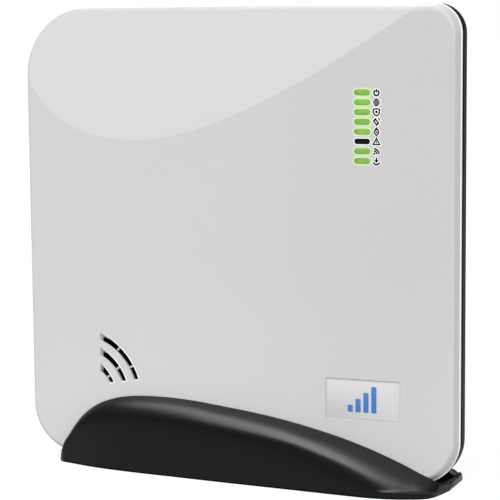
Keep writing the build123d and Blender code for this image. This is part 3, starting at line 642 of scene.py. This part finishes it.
def slot_highlight_strips():
    """A fine pale strip round the outer side and foot of each slot: painted highlight along the slot's edge."""
    for front, back, k, r0, r1, (t0, t1, b0, b1) in slot_loops():
        n = 40
        near, far = [], []
        for i in range(n + 1):
            a = math.radians(t1 - 2.0 + (b1 - t1 + 2.0) * i / n)
            w = 0.42 * min(1.0, 0.25 + 1.6 * i / n)
            g = 0.03 + 0.45 * max(0.0, 1 - (math.radians(t1) - a) * r1 / (6.4, 5.6, 2.8)[k])
            near.append((ARC_X + (r1 + g) * math.cos(a), ARC_Z + (r1 + g) * math.sin(a)))
            far.append((ARC_X + (r1 + g + w) * math.cos(a), ARC_Z + (r1 + g + w) * math.sin(a)))
        a1, a0 = math.radians(b1), math.radians(b0)
        dn = (math.sin(a1) * 0.42, -math.cos(a1) * 0.42)
        for t in (0.0, 0.35, 0.7, 1.0):
            rr, a = r1 + (r0 - r1) * t, a1 + (a0 - a1) * t
            px, pz = ARC_X + rr * math.cos(a), ARC_Z + rr * math.sin(a)
            near.append((px + dn[0] * 0.08, pz + dn[1] * 0.08))
            far.append((px + dn[0] + (0.42 * math.cos(a1) if t == 0.0 else 0.0), pz + dn[1] + (0.42 * math.sin(a1) if t == 0.0 else 0.0)))
        m = len(near)
        verts = [(x, YF - 0.02, z) for x, z in near + far] + [(x, YF + 0.01, z) for x, z in near + far]
        faces = []
        for i in range(m - 1):
            faces += [(i, i + 1, m + i + 1, m + i), (2 * m + i, 3 * m + i, 3 * m + i + 1, 2 * m + i + 1), (i, 2 * m + i, 2 * m + i + 1, i + 1), (m + i, m + i + 1, 3 * m + i + 1, 3 * m + i)]
        faces += [(0, m, 3 * m, 2 * m), (m - 1, 3 * m - 1, 4 * m - 1, 2 * m - 1)]
        new_object(f"sounder_slot_highlight_{k + 1}", verts, faces, "painted_highlight_white", "hub", None, angle=30)


slot_highlight_strips()


def cover_gap_shadow():
    """A near-black strip in the groove between the covers: painted shadow that darkens the gap."""
    ring = panel_outline(lambda *a: 0.0)
    prof = [(0.55, -6.47), (0.17, -6.47), (0.12, -6.41), (0.12, -4.25), (0.17, -4.19), (0.55, -4.19)]
    verts, faces, n, k = [], [], len(ring), len(prof)
    for ins, y in prof:
        verts += [(ox - nx * ins, y, oz - nz * ins) for x, z, nx, nz, ox, oz in ring]
    for a in range(k):
        b = (a + 1) % k
        for i in range(n):
            j = (i + 1) % n
            faces.append((a * n + i, b * n + i, b * n + j, a * n + j))
    return new_object("cover_gap_shadow", verts, faces, "painted_shadow_black", "hub", None, angle=30)


cover_gap_shadow()


# ------------------------------------------------------------------ status lights
def domed_pill(name, cx, cz, w, h, y_front, y_back, dome, edge, mat, body, cad=None):
    verts, faces = [], []
    rings = [(0.0, y_back), (0.0, y_front + edge), (edge * 0.3, y_front + edge * 0.3), (edge, y_front)]
    k = 4
    for i in range(1, k + 1):
        t = i / k
        rings.append((edge + (h / 2 - edge - 0.02) * t * 0.96, y_front - dome * math.sin(t * math.pi / 2)))
    loops = []
    for ins, y in rings:
        lp = pill_loop(cx, cz, w - 2 * ins, h - 2 * ins, 12)
        loops.append(range(len(verts), len(verts) + len(lp)))
        verts += [(x, y, z) for x, z in lp]
    n = len(loops[0])
    for a, b in zip(loops, loops[1:]):
        for i in range(n):
            faces.append((a[i], a[(i + 1) % n], b[(i + 1) % n], b[i]))
    faces.append(tuple(reversed(loops[-1])))
    faces.append(tuple(loops[0]))
    return new_object(name, verts, faces, mat, body, cad, angle=60)


def flat_ring(name, outer, inner, y0, y1, mat, body):
    """A thin ring between two loops of the same count."""
    n = len(outer)
    verts = [(x, y0, z) for x, z in outer] + [(x, y0, z) for x, z in inner] + [(x, y1, z) for x, z in outer] + [(x, y1, z) for x, z in inner]
    faces = []
    for i in range(n):
        j = (i + 1) % n
        faces += [(i, j, n + j, n + i), (2 * n + i, 3 * n + i, 3 * n + j, 2 * n + j), (i, 2 * n + i, 2 * n + j, j), (n + i, n + j, 3 * n + j, 3 * n + i)]
    return new_object(name, verts, faces, mat, body, None, angle=30)


for i in range(LED_N):
    cz = LED_Z0 - i * LED_PITCH
    lit = i != 5
    domed_pill(f"light_window_{i + 1}", LED_X, cz, LED_W - 0.12, LED_H - 0.06, YF + 0.03, -6.2, 0.10, 0.25, "lens_green" if lit else "lens_dark", "hub", "light_guide")
    # the rings round each window are painted light: green glow spill round the lit windows, a pale bright halo round
    # the dark one
    flat_ring(f"light_glow_halo_{i + 1}", pill_loop(LED_X, cz, LED_W + 0.9, LED_H + 0.9, 12), pill_loop(LED_X, cz, LED_W + 0.12, LED_H + 0.12, 12),
              YF - 0.03, YF + 0.01, "halo_green" if lit else "halo_white", "hub")
    if lit:
        flat_ring(f"light_spill_{i + 1}", pill_loop(LED_X, cz, LED_W + 1.7, LED_H + 1.7, 12), pill_loop(LED_X, cz, LED_W + 0.9, LED_H + 0.9, 12),
                  YF - 0.02, YF + 0.01, "halo_pale", "hub")


# ------------------------------------------------------------------ printed pictograms
def stroke(pts, w, closed=False):
    """Outline polygon(s) of a line of width w through pts."""
    n = len(pts)
    left, right = [], []
    for i in range(n):
        if closed:
            a, b, c = pts[(i - 1) % n], pts[i], pts[(i + 1) % n]
        else:
            a, b, c = pts[max(i - 1, 0)], pts[i], pts[min(i + 1, n - 1)]
        d1 = Vector((b[0] - a[0], b[1] - a[1]))
        d2 = Vector((c[0] - b[0], c[1] - b[1]))
        d1 = d1.normalized() if d1.length > 1e-9 else d2.normalized()
        d2 = d2.normalized() if d2.length > 1e-9 else d1
        n1, n2 = Vector((-d1.y, d1.x)), Vector((-d2.y, d2.x))
        m = (n1 + n2)
        m = m / max(0.45, m.dot(n1))
        left.append((b[0] + m.x * w / 2, b[1] + m.y * w / 2))
        right.append((b[0] - m.x * w / 2, b[1] - m.y * w / 2))
    return left, right


def arc_pts(cx, cz, rx, rz, a0, a1, n=20):
    return [(cx + rx * math.cos(math.radians(a0 + (a1 - a0) * i / n)), cz + rz * math.sin(math.radians(a0 + (a1 - a0) * i / n))) for i in range(n + 1)]


def icon_object(name, shapes, cx, cz, mat="ink_black", cad=None, y0=YF - 0.05, y1=YF - 0.005, grow=0.0):
    """shapes: ('line', pts, width, closed) or ('poly', pts); grow widens every stroke."""
    verts, faces = [], []

    def prism(loop_pts, quads, yf):
        s = len(verts)
        n = len(loop_pts)
        verts.extend((cx + x, yf, cz + z) for x, z in loop_pts)
        verts.extend((cx + x, y1, cz + z) for x, z in loop_pts)
        edge_count = {}
        for q in quads:
            faces.append(tuple(s + i for i in q))
            faces.append(tuple(s + n + i for i in reversed(q)))
            for a, b in zip(q, q[1:] + q[:1]):
                edge_count[(a, b)] = edge_count.get((a, b), 0) + 1
        for (a, b) in edge_count:
            if (b, a) not in edge_count:
                faces.append((s + b, s + a, s + n + a, s + n + b))
    for k, sh in enumerate(shapes):
        yf = y0 - 0.002 * k
        if sh[0] == "line":
            _, pts, w, closed = sh
            if grow and not closed:
                e0 = Vector(pts[0]) - Vector(pts[1])
                e1 = Vector(pts[-1]) - Vector(pts[-2])
                pts = [tuple(Vector(pts[0]) + e0.normalized() * grow / 2)] + list(pts[1:-1]) + [tuple(Vector(pts[-1]) + e1.normalized() * grow / 2)]
            l, rr = stroke(pts, w + grow, closed)
            n = len(pts)
            quads = []
            for i in range(n if closed else n - 1):
                j = (i + 1) % n
                quads.append((i, j, n + j, n + i))
            prism(l + rr, quads, yf)
        else:
            pts = sh[1]
            if grow:
                mx, mz = sum(p[0] for p in pts) / len(pts), sum(p[1] for p in pts) / len(pts)
                pts = [(x + (x - mx) / max(math.hypot(x - mx, z - mz), 1e-6) * grow / 2, z + (z - mz) / max(math.hypot(x - mx, z - mz), 1e-6) * grow / 2) for x, z in pts]
            prism(pts, [tuple(range(len(pts)))], yf)
    return new_object(name, verts, faces, mat, "hub", cad, angle=20)


ICONS = [
    [("line", arc_pts(0, -0.15, 1.08, 1.08, 118, 422, 30), 0.56, False), ("line", [(0, 0.10), (0, 1.45)], 0.50, False)],
    [("line", arc_pts(0, 0, 1.36, 1.36, 0, 345, 23), 0.36, True), ("poly", arc_pts(0, 0, 1.2, 1.2, 0, 345, 23))],
    [("line", [(0, 1.42), (0.75, 1.30), (1.36, 1.15), (1.36, 0.2), (1.1, -0.6), (0.58, -1.15), (0, -1.46), (-0.58, -1.15), (-1.1, -0.6), (-1.36, 0.2), (-1.36, 1.15), (-0.75, 1.30)], 0.44, True),
     ("poly", arc_pts(0, 0.1, 0.50, 0.50, 0, 340, 17))],
    [("line", [(-0.36, 1.22), (0.86, -0.42), (0.05, -1.22), (-1.22, 0.42)], 0.46, True), ("line", [(-0.34, 1.22), (-1.20, 0.44)], 0.66, False), ("line", [(0.84, -0.42), (0.05, -1.22)], 0.66, False),
     ("line", arc_pts(-0.25, -0.2, 1.95, 1.95, 28, 58, 8), 0.36, False)],
    [("line", [(0, 1.42), (0.55, 0.75), (0.98, 0.0), (0.80, -0.75), (0.42, -1.15), (0, -1.42), (-0.42, -1.15), (-0.80, -0.75), (-0.98, 0.0), (-0.55, 0.75)], 0.42, True),
     ("line", [(-0.62, 0.62), (0, 1.42), (0.62, 0.62)], 0.62, False), ("poly", arc_pts(0, -0.22, 0.36, 0.36, 0, 340, 17))],
    [("line", [(0, 1.32), (1.38, -1.14), (-1.38, -1.14)], 0.44, True), ("line", [(0, 0.30), (0, -0.55)], 0.30, False)],
    [("poly", arc_pts(-0.95, -0.95, 0.42, 0.42, 0, 340, 17)), ("line", arc_pts(-1.15, -1.15, 1.32, 1.32, 2, 88, 12), 0.50, False),
     ("line", arc_pts(-1.15, -1.15, 2.25, 2.25, 2, 88, 16), 0.56, False)],
    [("line", [(0, 1.5), (0, 0.1)], 0.50, False), ("poly", [(-1.0, 0.42), (0.0, -0.72), (1.0, 0.42)][::-1]),
     ("line", arc_pts(0, 0.1, 1.45, 1.50, 202, 338, 14), 0.54, False)],
]
for i, shapes in enumerate(ICONS):
    z = LED_Z0 - i * LED_PITCH
    icon_object(f"pictogram_{i + 1}", shapes, ICON_X + 0.06, z, cad="status_icons", mat="ink_globe" if i == 1 else "ink_black", grow=0.0 if i == 1 else 0.14)
    # a pale widened copy under each pictogram: painted bright halo round the print
    icon_object(f"pictogram_halo_{i + 1}", shapes, ICON_X + 0.06, z, cad="status_icons", mat="halo_white", y0=YF - 0.012, y1=YF + 0.01, grow=0.85)
icon_object("pictogram_2_lines", [("line", arc_pts(0, 0, 0.6, 1.25, 0, 345, 23), 0.14, True), ("line", [(-1.3, 0), (1.3, 0)], 0.14, False), ("line", [(0, -1.3), (0, 1.3)], 0.14, False),
                                  ("line", arc_pts(0, 0, 1.36, 1.36, 60, 120, 8), 0.5, False), ("line", arc_pts(0, 0, 1.36, 1.36, 240, 300, 8), 0.5, False)],
            ICON_X, LED_Z0 - LED_PITCH, cad="status_icons", y0=YF - 0.06, y1=YF - 0.04)


# ------------------------------------------------------------------ badge plate and its generic mark
def bevelled_plate(name, loop_fn, y_front, y_back, edge, mat, body, cad):
    rings = [(0.0, y_back), (0.0, y_front + edge), (edge * 0.35, y_front + edge * 0.3), (edge, y_front)]
    verts, faces, ids = [], [], []
    for ins, y in rings:
        lp = loop_fn(ins)
        ids.append(list(range(len(verts), len(verts) + len(lp))))
        verts += [(x, y, z) for x, z in lp]
    n = len(ids[0])
    for a, b in zip(ids, ids[1:]):
        for i in range(n):
            faces.append((a[i], a[(i + 1) % n], b[(i + 1) % n], b[i]))
    faces.append(tuple(ids[-1]))
    faces.append(tuple(reversed(ids[0])))
    return new_object(name, verts, faces, mat, body, cad, angle=40)


bevelled_plate("badge_plate_film", lambda i: rrect_loop(BADGE[0] + 0.15 + i, BADGE[1] - 0.15 - i, BADGE[2] + 0.15 + i, BADGE[3] - 0.15 - i, 0.3),
               YF + 0.3, YF + 0.7, 0.08, "badge_film", "hub", "badge_plate")
for i in range(4):
    bx = 52.0 + i * 3.5
    bevelled_plate(f"badge_bar_{i + 1}", lambda k, bx=bx, i=i: rrect_loop(bx + k, bx + 2.3 - k, 32.4 + k, 32.4 + 3.0 + i * 2.75 - k, 0.5 - k * 0.5),
                   YF + 0.24, YF + 0.3, 0.02, "ink_blue", "hub", "badge_mark")


# ------------------------------------------------------------------ desk stand
def outline_bottom(x):
    """Height of the panel's lower edge at x."""
    if x < -W / 2 + R_BL:
        dx = min(R_BL, (-W / 2 + R_BL) - x)
        return ZP + R_BL - math.sqrt(R_BL ** 2 - dx ** 2)
    if x > W / 2 - R_BR:
        dx = min(R_BR, x - (W / 2 - R_BR))
        return ZP + R_BR - math.sqrt(R_BR ** 2 - dx ** 2)
    return ZP


def slot_edges(x):
    """Front and back edge of the slot in plan at x; its right end is cut off obliquely."""
    ya = -SLOT_Y if x <= 90.2 else (-SLOT_Y + (x - 90.2) / 2.1 * 3.2 if x <= 92.3 else -8.5 + (x - 92.3) / 0.8 * 17.5)
    yz = SLOT_Y if x <= 91.2 else SLOT_Y - (x - 91.2) / 1.9 * 2.7
    return ya, yz


def desk_stand():
    xs0 = [s[0] for s in STAND]
    f_yf, f_h, f_yb, f_hb = (cubic(xs0, [s[k] for s in STAND]) for k in (1, 2, 3, 4))
    f_g = cubic([p[0] for p in SHOULDER], [p[1] for p in SHOULDER])
    xs = []
    x = STAND[0][0]
    while x < STAND[-1][0]:
        xs.append(x)
        if x < -82:
            x += 0.2
        elif x < -70:
            x += 0.7
        elif x > 89:
            x += 0.12
        elif x > 76:
            x += 0.8
        else:
            x += 2.0
    xs.append(STAND[-1][0])
    xs = sorted(set([round(v, 3) for v in xs if abs(v - SLOT_X1) > 0.05] + [SLOT_X1, SLOT_X1 + 0.03, -53.0, -52.9, 47.9, 48.0]))

    def resample(line, want):
        acc = [0.0]
        for a, b in zip(line, line[1:]):
            acc.append(acc[-1] + math.dist(a, b))
        out = []
        for k in range(want):
            q = acc[-1] * k / (want - 1)
            i = max(j for j in range(len(acc) - 1) if acc[j] <= q + 1e-12)
            w = (q - acc[i]) / max(acc[i + 1] - acc[i], 1e-9)
            out.append((line[i][0] + (line[i + 1][0] - line[i][0]) * w, line[i][1] + (line[i + 1][1] - line[i][1]) * w))
        return out

    def side(y_foot, y_in, top, g, lip, zl):
        """From the foot up over the soft shoulder to the slot's rim; lip blends to an upright band along the foot."""
        dd = y_in - y_foot
        t = max(top - Z_SOLE, 0.8)
        sg = 1 if dd > 0 else -1
        pts = [(y_foot, Z_SOLE), (y_foot + 0.03 * dd, Z_SOLE + 0.49 * g * t), (y_foot + 0.12 * dd, Z_SOLE + 0.86 * g * t),
               (y_foot + 0.27 * dd, Z_SOLE + (0.95 * g + 0.25 * (1 - g)) * t), (y_foot + 0.55 * dd, Z_SOLE + (g + 0.58 * (1 - g)) * t), (y_in, Z_SOLE + t)]
        low = min(0.35, t * 0.2)
        zl = min(zl, Z_SOLE + 0.45 * t)
        line = [p for p in catmull(pts, 12) if p[1] > Z_SOLE + low * 0.9]
        cut = min(i for i, p in enumerate(line) if p[1] > zl)
        p0, p1 = line[max(cut - 1, 0)], line[cut]
        w = (zl - p0[1]) / max(p1[1] - p0[1], 1e-9)
        here = (p0[0] + (p1[0] - p0[0]) * w, zl)
        below = resample(line[:cut] + [here], 8)
        above = resample([here] + line[cut:], 27)[1:]
        if lip > 0:
            below = [(y + (y_foot - y) * lip, z) for y, z in below]
            crisp = resample([(y_foot + sg * 0.12, zl + 0.03)] + [p for p in line if p[1] > zl + min(0.7, 0.1 * t)], 26)
            above = [(a[0] + (b[0] - a[0]) * lip, a[1] + (b[1] - a[1]) * lip) for a, b in zip(above, crisp)]
        soft = below + above
        foot = [(y_foot + sg * low * 1.3, Z_SOLE), (y_foot + sg * low * 0.45, Z_SOLE + low * 0.12), (y_foot + sg * low * 0.08, Z_SOLE + low * 0.45)]
        return foot + soft

    rings = []
    for x in xs:
        yf, h, yb, hb, g = f_yf(x), f_h(x), f_yb(x), f_hb(x), f_g(x)
        lip = min(1.0, max(0.0, (x - 61.0) / 13.0))
        lip = lip * lip * (3 - 2 * lip)
        zl = Z_SOLE + 3.0 - 0.9 * min(1.0, max(0.0, (x - 68.0) / 22.0))
        sa, sb = -SLOT_Y, SLOT_Y
        if yf > -12.2:
            sa, sb = yf + 0.8, yb - 0.8
        if yf > -12.2 and x < 0:
            ya, yz = sa + 0.3, sb - 0.3
        elif x > 90.2:
            ya, yz = slot_edges(min(x, SLOT_X1))
            ya, yz = max(ya, sa + 0.6), min(yz, sb - 0.6)
        else:
            ya, yz = sa, sb
        if SLOT_X0 <= x <= SLOT_X1:
            zf = Z_FLOOR
        elif x < SLOT_X0:
            zf = min(h - 0.05, hb - 0.05, outline_bottom(x) - 0.3)
        else:
            zf = None

        def top(y):
            return h + (hb - h) * (y - sa) / (sb - sa)
        za, zb = top(ya), top(yz)
        if zf is None:
            zf = (za + zb) / 2 - 0.03
        wide = yz - ya
        soft_edge = 0.5 - 0.36 * min(1.0, max(0.0, (x - 84.0) / 4.0))
        rf, rb = min(soft_edge, max(za - zf, 0.02) * 0.45, wide * 0.2), min(soft_edge, max(zb - zf, 0.02) * 0.45, wide * 0.2)
        fl = min(0.4, max(min(za, zb) - zf, 0.02) * 0.3, wide * 0.2)
        ea = min(sa, ya - rf)
        eb = max(sb, yz + rb)
        front = side(yf, ea if ea < ya - rf - 1e-6 else ya - rf, h, g, lip, zl)
        back = side(yb, eb if eb > yz + rb + 1e-6 else yz + rb, hb, g, lip, zl)
        sec = front + [(ya - rf, za), (ya - rf * 0.5, za - rf * 0.13), (ya - rf * 0.13, za - rf * 0.5), (ya, za - rf), (ya, zf + fl), (ya + fl * 0.3, zf + fl * 0.3), (ya + fl, zf),
                       (ya + wide * 0.3, zf), (ya + wide * 0.5, zf), (ya + wide * 0.7, zf), (yz - fl, zf), (yz - fl * 0.3, zf + fl * 0.3), (yz, zf + fl),
                       (yz, zb - rb), (yz + rb * 0.13, zb - rb * 0.5), (yz + rb * 0.5, zb - rb * 0.13), (yz + rb, zb)] + back[::-1]
        # underside, with the two long pockets over the ballast
        pocket = -53.0 < x < 48.0
        bf, bi = yf + 2.6, -SLOT_Y - 2.0
        cf, ci = yb - 2.6, SLOT_Y + 2.0
        if not pocket:
            bf, bi = min(yf + 2.6, yf * 0.8) if yf < 0 else yf + 1.0, min(yf * 0.6, yf + 3.5) if yf < 0 else yf + 2.0
            cf, ci = yb * 0.8, yb * 0.6
            bf, bi = yf + 1.2, yf + 2.4
            cf, ci = yb - 1.2, yb - 2.4
        zo = (lambda v: v) if pocket else (lambda v: Z_SOLE)
        sec += [(cf, Z_SOLE), (cf, zo(0.55 * hb)), (ci, zo(hb - 5.2)), (ci, Z_SOLE), ((bi + ci) / 2, Z_SOLE), (bi, Z_SOLE), (bi, zo(h - 5.2)), (bf, zo(0.55 * h)), (bf, Z_SOLE)]
        rings.append([(x, y, z) for y, z in sec])
    n = len(rings[0])
    verts, faces = [], []
    for rg in rings:
        verts += rg
    for k in range(len(rings) - 1):
        a, b = k * n, (k + 1) * n
        for i in range(n):
            j = (i + 1) % n
            faces.append((a + i, b + i, b + j, a + j))
    # ends: a small rounding, then closed
    for k, sg, amounts in ((0, -1, ((0.10, 0.25), (0.18, 0.6))), (len(rings) - 1, 1, ((0.08, 0.10), (0.12, 0.24)))):
        base = [verts[k * n + i] for i in range(n)]
        cy = sum(p[1] for p in base) / n
        zmax = max(p[2] for p in base)
        prev = [k * n + i for i in range(n)]
        for dx, q in amounts:
            cur = []
            for (bx, by, bz) in base:
                cur.append(len(verts))
                verts.append((bx + sg * dx, cy + (by - cy) * (1 - 0.035 * q), Z_SOLE + (bz - Z_SOLE) * (1 - 0.42 * q) + 0.12 * q))
            for i in range(n):
                j = (i + 1) % n
                faces.append((prev[i], prev[j], cur[j], cur[i]) if sg < 0 else (prev[i], cur[i], cur[j], prev[j]))
            prev = cur
        mid = len(verts)
        verts.append((base[0][0] + sg * 0.13, cy, Z_SOLE + 0.35 * (zmax - Z_SOLE)))
        for i in range(n):
            j = (i + 1) % n
            faces.append((prev[i], prev[j], mid))
    o = new_object("desk_stand_shell", verts, faces, "stand_black", "stand", "desk_stand", angle=38)
    return o


desk_stand()


def foot_contact_shadow():
    """A near-black strip round the stand's foot: painted contact shadow where the stand meets the floor."""
    xs0 = [q[0] for q in STAND]
    f_yf, f_yb = cubic(xs0, [q[1] for q in STAND]), cubic(xs0, [q[3] for q in STAND])
    xs = sorted({round(-86.6 + 180.9 * k / 130, 3) for k in range(131)} | {-86.5, -86.4, -86.2, 93.0, 93.8, 94.0, 94.2})
    ring = [(x, max(f_yf(x) - 0.015, -26.596)) for x in xs] + [(x, min(f_yb(x) + 0.015, 26.61)) for x in reversed(xs)]
    n = len(ring)
    inner = []
    for i in range(n):
        ax, ay = ring[i - 1]
        bx, by = ring[(i + 1) % n]
        q = math.hypot(bx - ax, by - ay)
        inner.append((ring[i][0] - (by - ay) / q * 0.3, ring[i][1] + (bx - ax) / q * 0.3))
    verts = [(x, y, z) for z, lp in ((0.04, ring), (0.62, ring), (0.62, inner), (0.04, inner)) for x, y in lp]
    faces = []
    for a in range(4):
        b = (a + 1) % 4
        for i in range(n):
            j = (i + 1) % n
            faces.append((a * n + i, a * n + j, b * n + j, b * n + i))
    new_object("stand_foot_contact_shadow", verts, faces, "painted_shadow_black", "stand", None, angle=40)


foot_contact_shadow()


def box_mesh(name, x0, x1, y0, y1, z0, z1, bev, mat, body, cad=None):
    bm = bmesh.new()
    bmesh.ops.create_cube(bm, size=1.0)
    for v in bm.verts:
        v.co = Vector(((x0 if v.co.x < 0 else x1), (y0 if v.co.y < 0 else y1), (z0 if v.co.z < 0 else z1)))
    bmesh.ops.bevel(bm, geom=bm.edges[:] + bm.verts[:], offset=bev, segments=3, affect="EDGES", profile=0.5)
    bm.normal_update()
    vs = [tuple(v.co) for v in bm.verts]
    fs = [tuple(v.index for v in f.verts) for f in bm.faces]
    bm.free()
    return new_object(name, vs, fs, mat, body, cad, angle=40)


for i, x in enumerate((-62, -24, 16, 54)):
    box_mesh(f"stand_rest_rib_{i + 1}", x - 1.2, x + 1.2, -SLOT_Y - 0.1, SLOT_Y + 0.1, Z_FLOOR - 0.4, Z_REST, 0.25, "stand_black", "stand")

# ------------------------------------------------------------------ studio
def make_world():
    w = bpy.data.worlds.new("studio")
    scene.world = w
    w.use_nodes = True
    nt = w.node_tree
    nt.nodes.clear()
    out = nt.nodes.new("ShaderNodeOutputWorld")
    bg = nt.nodes.new("ShaderNodeBackground")
    bg.inputs["Color"].default_value = (1, 1, 1, 1)
    bg.inputs["Strength"].default_value = 0.20
    seen = nt.nodes.new("ShaderNodeBackground")
    seen.inputs["Color"].default_value = (1, 1, 1, 1)
    seen.inputs["Strength"].default_value = 1.0
    lp = nt.nodes.new("ShaderNodeLightPath")
    mx = nt.nodes.new("ShaderNodeMixShader")
    nt.links.new(lp.outputs["Is Camera Ray"], mx.inputs["Fac"])
    nt.links.new(bg.outputs["Background"], mx.inputs[1])
    nt.links.new(seen.outputs["Background"], mx.inputs[2])
    nt.links.new(mx.outputs["Shader"], out.inputs["Surface"])


make_world()


def area(name, loc, target, size, power, size_y=None):
    ld = bpy.data.lights.new(name, "AREA")
    ld.shape = "RECTANGLE"
    ld.size = size
    ld.size_y = size_y or size
    ld.energy = power
    lo = bpy.data.objects.new(name, ld)
    scene.collection.objects.link(lo)
    lo.location = loc
    dirv = (Vector(target) - Vector(loc)).normalized()
    lo.rotation_euler = dirv.to_track_quat("-Z", "Y").to_euler()
    return lo


def sun(name, azimuth, elevation, strength, angle, colour=(1, 1, 1)):
    """azimuth: where the light comes from, degrees from -Y towards -X."""
    ld = bpy.data.lights.new(name, "SUN")
    ld.energy = strength
    ld.angle = math.radians(angle)
    ld.color = colour
    lo = bpy.data.objects.new(name, ld)
    scene.collection.objects.link(lo)
    az, el = math.radians(azimuth), math.radians(elevation)
    frm = Vector((-math.sin(az) * math.cos(el), -math.cos(az) * math.cos(el), math.sin(el)))
    lo.rotation_euler = (-frm).to_track_quat("-Z", "Y").to_euler()
    return lo


key = sun("overhead", 12, 67, 3.0, 24)
key.visible_glossy = False
for gloss in (sun("sheen_left", 41, 67, 4.3, 40), sun("sheen_right", -16, 70, 3.9, 40)):
    gloss.visible_diffuse = False
back = sun("back_fill", 165, 22, 2.6, 40)
back.visible_glossy = False
for fill in (sun("front_fill", -15, 20, 1.08, 30), sun("right_fill", -75, 15, 0.78, 30, (1.0, 0.97, 0.94))):
    fill.visible_glossy = False

floor_me = bpy.data.meshes.new("floor")
floor_me.from_pydata([(-60, -60, 0), (60, -60, 0), (60, 60, 0), (-60, 60, 0)], [], [(0, 1, 2, 3)])
floor = bpy.data.objects.new("floor", floor_me)
scene.collection.objects.link(floor)
fm, fnt, fb = base_material("floor_paper", (0.06, 0.06, 0.06), 1.0, spec=0.0)
nz = fnt.nodes.new("ShaderNodeTexNoise")
nz.inputs["Scale"].default_value = 3.0
rp = fnt.nodes.new("ShaderNodeValToRGB")
rp.color_ramp.elements[0].color = (0.059, 0.059, 0.059, 1)
rp.color_ramp.elements[1].color = (0.061, 0.061, 0.061, 1)
fnt.links.new(nz.outputs["Fac"], rp.inputs["Fac"])
fnt.links.new(rp.outputs["Color"], fb.inputs["Base Color"])
fb.inputs["Emission Color"].default_value = (1, 1, 1, 1)
# the paper glows fully for the eye and in reflections, and lights the part less than that
lp = fnt.nodes.new("ShaderNodeLightPath")
dim = fnt.nodes.new("ShaderNodeMapRange")
dim.inputs["To Min"].default_value = 0.95
dim.inputs["To Max"].default_value = 0.36
fnt.links.new(lp.outputs["Is Diffuse Ray"], dim.inputs["Value"])
fnt.links.new(dim.outputs["Result"], fb.inputs["Emission Strength"])
floor_me.materials.append(fm)

scene.view_settings.view_transform = "Standard"
scene.view_settings.look = "None"
scene.view_settings.exposure = 0.0
scene.view_settings.gamma = 1.0
